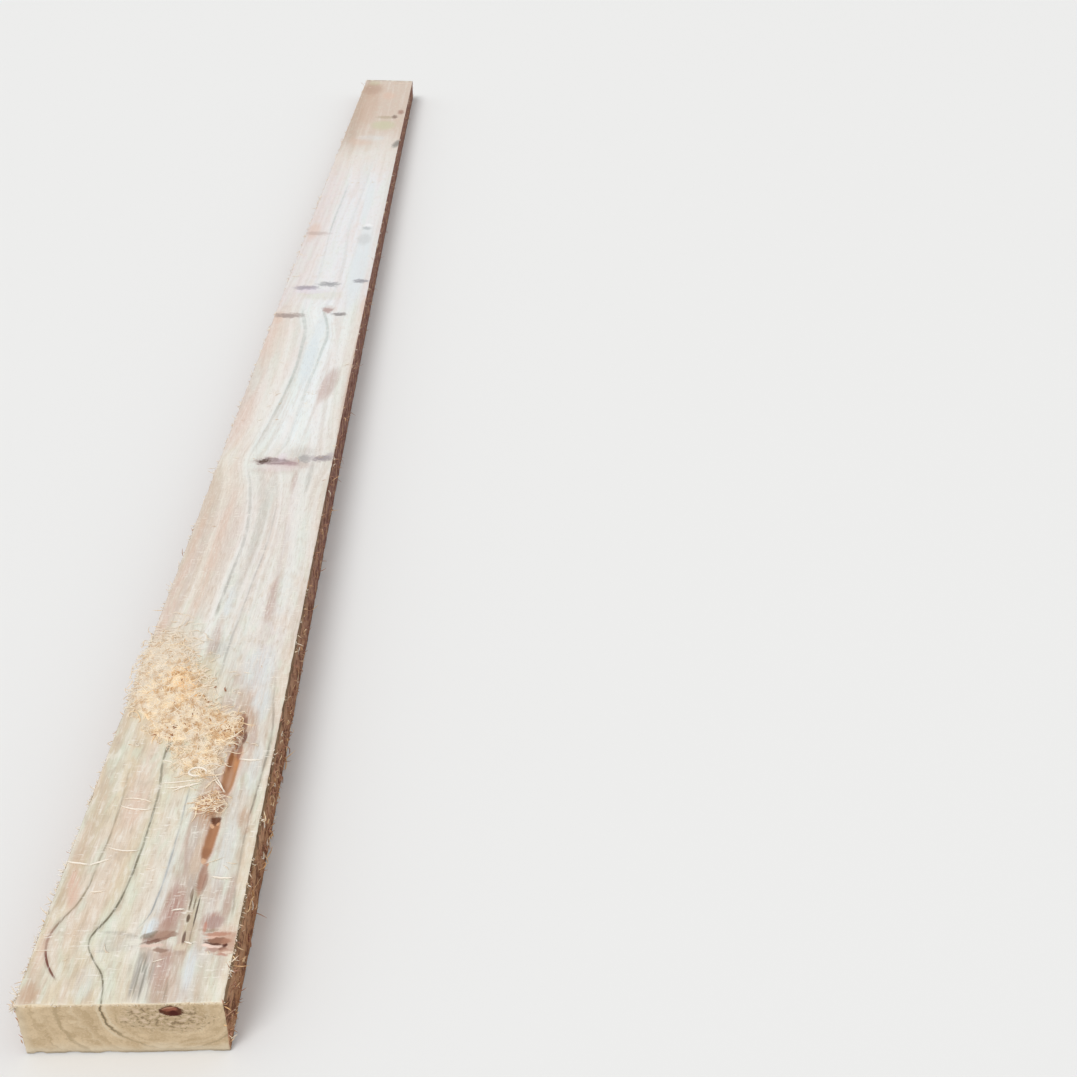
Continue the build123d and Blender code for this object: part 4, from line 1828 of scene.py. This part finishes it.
@dataclass
class TornFibres:
    """Fuzz along the arrises and on the sides, hairs on the top, and single larger curls.

    Lengths and half widths are the least and the most, in millimetres. curls holds the distance of
    single curls on the right side and their drop below the top. laid holds the two ends of strands
    on the top face, each as distance and offset, and loop the place and radius of one that is bent
    round.
    """

    blank: Blank
    material: bpy.types.Material
    left_fuzz: int = 1700
    left_lengths: Span = (1.4, 5)
    right_fuzz: int = 500
    right_lengths: Span = (1, 4)
    end_fuzz: int = 60
    end_lengths: Span = (0.8, 2.2)
    side_fuzz: int = 1300
    side_lengths: Span = (3, 10)
    fuzz_half_widths: Span = (0.3, 0.65)
    hairs: int = 110
    hair_lengths: Span = (3, 12)
    side_curls: int = 90
    curl_lengths: Span = (8, 22)
    curl_half_widths: Span = (0.4, 0.8)
    laid_half_widths: Span = (0.75, 1.1)
    loop_half_width: float = 1.35
    curls: tuple[tuple[float, float], ...] = (
        (853, -4), (784, -9), (694, -14), (626, -8), (600, -12), (494, -22), (455, -16), (430, -26),
        (262, -7), (255, -9), (244, -14), (236, -12), (228, -18), (214, -25), (330, -30), (185, -32),
        (120, -18), (1010, -10), (1240, -20), (64, -30), (90, -40),
    )
    laid: tuple[tuple[float, float, float, float], ...] = (
        (107, -48, 108, -36), (140, -76, 136, -55), (136, -56, 143, -40), (156, -46, 152, -19),
        (205, -48, 200, -20), (213, -47, 208, -21), (232, -20, 237, 18), (222, -7, 232, 16),
        (250, 8, 248, 21), (250, 19, 219, 38), (249, 20.5, 219.5, 39), (207, 13, 212, 34),
        (122, 44, 120, 62), (87, 20, 88, 30), (262, -24, 259, -14), (226, -14, 230, 12),
        (263, 44, 262, 64), (56, 36, 54, 42),
    )
    loop: tuple[float, float, float] = (243, 11, 6)

    def __post_init__(self) -> None:
        """Start the bundle and the random draws."""
        self.rng = np.random.default_rng(23)
        self.torn = Strands("torn_fibres", self.blank, self.material)

    def _grow(self, root: Array, aim: Array, length: Span) -> Array:
        """Grow short fibres from their roots: root + L (s aim + s^2 bend), with a random bend.

        Args:
            root: Places of the roots.
            aim: Mean direction of each fibre, or one for all.
            length: Shortest and longest length, in millimetres.

        Returns:
            One row of points for each fibre, none below the floor.
        """
        rng = self.rng
        count = len(root)
        reach = rng.uniform(*length, (count, 1, 1)) * rng.uniform(0.4, 1, (count, 1, 1))
        aim = aim + rng.normal(0, 0.45, (count, 3))
        bend = rng.normal(0, 0.55, (count, 1, 3))
        s = np.linspace(0, 1, 4)[:, None]
        lines = root[:, None] + reach * (s * aim[:, None] + s * s * bend)
        lines[..., 2] = np.maximum(lines[..., 2], 0.5)
        return lines

    def _clumps(self, count: int) -> Array:
        """Throw distances from the near end, in clumps of about six, closer together near it.

        Args:
            count: How many.

        Returns:
            Distances in millimetres.
        """
        clumps = self.blank.length * self.rng.uniform(0, 1, count // 6) ** 1.8
        thrown = self.rng.choice(clumps, count) + self.rng.normal(0, 3.5, count)
        return thrown.clip(0.5, self.blank.length - 0.5)

    def _edges(self) -> None:
        """Add the fuzz along both long top arrises and the near one."""
        rng, top, half = self.rng, self.blank.top, self.blank.width / 2
        rows = ((self.left_fuzz, -1, self.left_lengths), (self.right_fuzz, 1, self.right_lengths))
        for count, side, length in rows:
            along = self._clumps(count)
            across = side * (half - rng.uniform(0.6, 2.0, count)) - self.blank.bow(along)
            root = np.column_stack([across, along, top - rng.uniform(0.5, 3, count)])
            lines = self._grow(root, np.array([0.6 * side, -0.1, 0.05]), length)
            self.torn.add(lines, rng.uniform(*self.fuzz_half_widths, count), rng.uniform(0, 0.3, count))
        count = self.end_fuzz
        across, along = rng.uniform(-half, half, count), rng.uniform(0.6, 2, count)
        root = np.column_stack([across, along, np.full(count, top - 1)])
        lines = self._grow(root, np.array([0, -0.4, -0.3]), self.end_lengths)
        self.torn.add(lines, rng.uniform(0.25, 0.5, count), rng.uniform(0, 0.3, count))

    def _sides(self) -> None:
        """Add the fuzz on the narrow sides, three quarters of it brown and most on the right."""
        rng, top, half = self.rng, self.blank.top, self.blank.width / 2
        count = self.side_fuzz
        along = self._clumps(count)
        side = rng.choice([-1, 1], count, p=[0.3, 0.7])
        across = side * (half - 0.9) - self.blank.bow(along)
        root = np.column_stack([across, along, top * rng.uniform(0.08, 0.97, count)])
        aim = np.column_stack([0.3 * side, rng.normal(0, 0.5, count), np.full(count, 0.3)])
        lines = self._grow(root, aim, self.side_lengths)
        tone = np.where(rng.uniform(0, 1, count) < 0.75, 1.0, rng.uniform(0.4, 0.66, count))
        self.torn.add(lines, rng.uniform(*self.fuzz_half_widths, count), tone)

    def _hanging(self) -> None:
        """Add the curls that hang on the right side: the single ones, and more by chance."""
        rng = self.rng
        y, drop = np.array(self.curls).T
        y = np.concatenate([y, rng.normal(270, 75, self.side_curls).clip(60, 520)])
        drop = np.concatenate([drop, -rng.uniform(5, 50, self.side_curls)])
        count = len(y)
        x = np.full(count, self.blank.width / 2 + 1.5) - self.blank.bow(y)
        middle = np.column_stack([x, y, self.blank.top + drop])
        length, turn = rng.uniform(*self.curl_lengths, count), rng.uniform(2, 6, count)
        swing = curl(rng, middle, length, turn, 12, 0.3) - middle[:, None]
        lines = middle[:, None] + swing[..., [2, 1, 0]] * (0.8, 1.0, 0.8)
        lines[..., 0] = np.maximum(lines[..., 0], middle[:, None, 0] - 1.0)
        tone = rng.choice([0.1, 0.5, 0.6, 1.0, 1.0, 1.0, 1.0], count)
        self.torn.add(lines, rng.uniform(*self.curl_half_widths, count), tone, rng.normal(0, 1, count))

    def _hairs(self) -> None:
        """Add the short hairs that lie about on the top face, most of them across it."""
        rng, top, half = self.rng, self.blank.top, self.blank.width / 2
        count = self.hairs
        along = self._clumps(count)
        root = np.column_stack([rng.uniform(-half + 6, half - 6, count), along, np.full(count, top + 0.1)])
        aim = np.column_stack([rng.choice([-1, 1], count), rng.normal(0, 0.35, count), np.zeros(count)])
        lines = self._grow(root, aim, self.hair_lengths)
        lines[..., 2] = top + 0.05 + 0.15 * np.abs(lines[..., 2] - top).clip(0, 3)
        self.torn.add(lines, rng.uniform(0.3, 0.6, count), rng.uniform(0.0, 0.2, count))

    def _strands(self) -> None:
        """Add the single long strands, each bowed by a parabola, and the loop."""
        rng, top = self.rng, self.blank.top
        ends = np.array(self.laid)
        count = len(ends)
        s = np.linspace(0, 1, 11)[:, None]
        start, stop = ends[:, None, 1::-1], ends[:, None, :1:-1]
        bow = (stop - start)[..., ::-1] * (1, -1) * rng.normal(0, 0.05, (count, 1, 1)) * 4 * s * (1 - s)
        plan = start + (stop - start) * s + bow + rng.normal(0, 0.15, (count, 11, 2))
        lines = np.concatenate([plan, top + 0.25 + 0.8 * s * (1 - s) + np.zeros((count, 11, 1))], -1)
        half_width, tone = rng.uniform(*self.laid_half_widths, count), rng.uniform(0.0, 0.1, count)
        self.torn.add(lines, half_width, tone, rng.normal(0, 0.5, count))
        y, x, radius = self.loop
        turn = np.linspace(-0.4, 5.2, 22)
        x, y = x + radius * 1.25 * np.cos(turn), y + radius * np.sin(turn)
        ring = np.column_stack([x, y, top + 2.8 + 0.25 * turn])
        self.torn.add(ring[None], np.array([self.loop_half_width]), np.array([0.05]), 0.4)

    def build(self) -> bpy.types.Object:
        """Make all torn fibres.

        Returns:
            The fibres, as one piece.
        """
        for part in (self._edges, self._sides, self._hanging, self._hairs, self._strands):
            part()
        return self.torn.build()


@dataclass(frozen=True)
class Studio:
    """Floor, light and camera. Angles are in degrees and lengths in metres."""

    camera_place: tuple[float, float, float] = (0.24995, -2.3868, 0.7916)
    camera_down: float = 30.610
    camera_right: float = 4.023
    camera_roll: float = 2.084
    camera_focal_pixels: float = 1206.7
    floor_side: float = 60.0
    floor_gap: float = 0.0004
    floor_colour: Rgb = (238, 238, 237)
    floor_bounce: Rgb = (170, 167, 163)
    floor_roughness: float = 0.9
    floor_specular: float = 0.1
    sky_strength: float = 0.66
    sun_strength: float = 1.4
    sun_angle: float = 30.0
    sun_from: tuple[float, float, float] = (-0.45, -0.75, 1.0)

    def build(self) -> None:
        """Make the floor, the light and the camera."""
        self._floor()
        self._light()
        self._camera()

    def _floor(self) -> None:
        """Lay a pale floor that shows nearly white and bounces less light than it shows."""
        half = self.floor_side / 2
        corners = np.array([(-half, -half), (half, -half), (half, half), (-half, half)])
        points = np.column_stack([corners, np.full(4, -self.floor_gap)])
        floor = add_mesh("floor", points, [np.array([[0, 1, 2, 3]])], smooth_faces=False)
        graph = Graph("floor_paint")
        rays = graph.node("LightPath", {}, {})
        seen = [Signal(graph, rays.outputs[f"Is {kind} Ray"]) for kind in ("Camera", "Glossy")]
        colour = graph.mix(graph.math("MAXIMUM", *seen), self.floor_bounce, self.floor_colour)
        floor.data.materials.append(graph.close(colour, self.floor_roughness, self.floor_specular))
        floor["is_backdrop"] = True

    def _light(self) -> None:
        """Light everything with an even sky and a broad soft sun from the front on the left."""
        world = bpy.data.worlds.new("sky")
        world.use_nodes = True
        bpy.context.scene.world = world
        background = world.node_tree.nodes["Background"]
        background.inputs["Color"].default_value = (1.0, 1.0, 1.0, 1.0)
        background.inputs["Strength"].default_value = self.sky_strength
        lamp = bpy.data.lights.new("sun", "SUN")
        lamp.energy = self.sun_strength
        lamp.angle = math.radians(self.sun_angle)
        sun = bpy.data.objects.new("sun", lamp)
        sun.rotation_mode = "QUATERNION"
        sun.rotation_quaternion = Vector(self.sun_from).to_track_quat("Z", "Y")
        bpy.context.scene.collection.objects.link(sun)

    def _camera(self) -> None:
        """Aim the camera: turned right, tipped down, then rolled about its own line of sight."""
        down, right, roll = (
            math.radians(a) for a in (self.camera_down, self.camera_right, self.camera_roll)
        )
        ahead = Vector((
            math.sin(right) * math.cos(down),
            math.cos(right) * math.cos(down),
            -math.sin(down),
        ))
        level = Vector((math.cos(right), -math.sin(right), 0))
        upright = level.cross(ahead)
        side = level * math.cos(roll) + upright * math.sin(roll)
        top = upright * math.cos(roll) - level * math.sin(roll)
        data = bpy.data.cameras.new("camera")
        data.sensor_width = SENSOR_WIDTH
        data.lens = self.camera_focal_pixels / IMAGE_SIDE * SENSOR_WIDTH
        data.clip_start, data.clip_end = 0.01, 200.0
        camera = bpy.data.objects.new("camera", data)
        turn = Matrix((side, top, -ahead)).transposed()
        camera.matrix_world = Matrix.Translation(self.camera_place) @ turn.to_4x4()
        bpy.context.scene.collection.objects.link(camera)
        bpy.context.scene.camera = camera


def main() -> None:
    """Build the plank and all that lies on it, and say what was made."""
    logging.basicConfig(level=logging.INFO, format="%(name)s: %(message)s")
    bpy.context.scene.view_settings.view_transform = "Standard"
    cad_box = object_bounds()
    Studio().build()
    blank = Blank()
    pieces = [SawnPlank(blank).build()]
    pieces += ShavingHeap(blank, Shaving().material("wood_shavings")).build()
    # The torn fibres glow less, but this is also painted light.
    torn = Shaving(white=(240, 232, 219), glow=0.12, body=1.0)
    pieces.append(TornFibres(blank, torn.material("torn_wood")).build())
    for piece in pieces:
        triangles = sum(len(face.vertices) - 2 for face in piece.data.polygons)
        LOG.info("%s has %d triangles", piece.name, triangles)
    boxes = {"cad": cad_box, "visual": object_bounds()}
    {key: [list(corner) for corner in box] for key, box in boxes.items()}


if __name__ == "__main__":
    main()
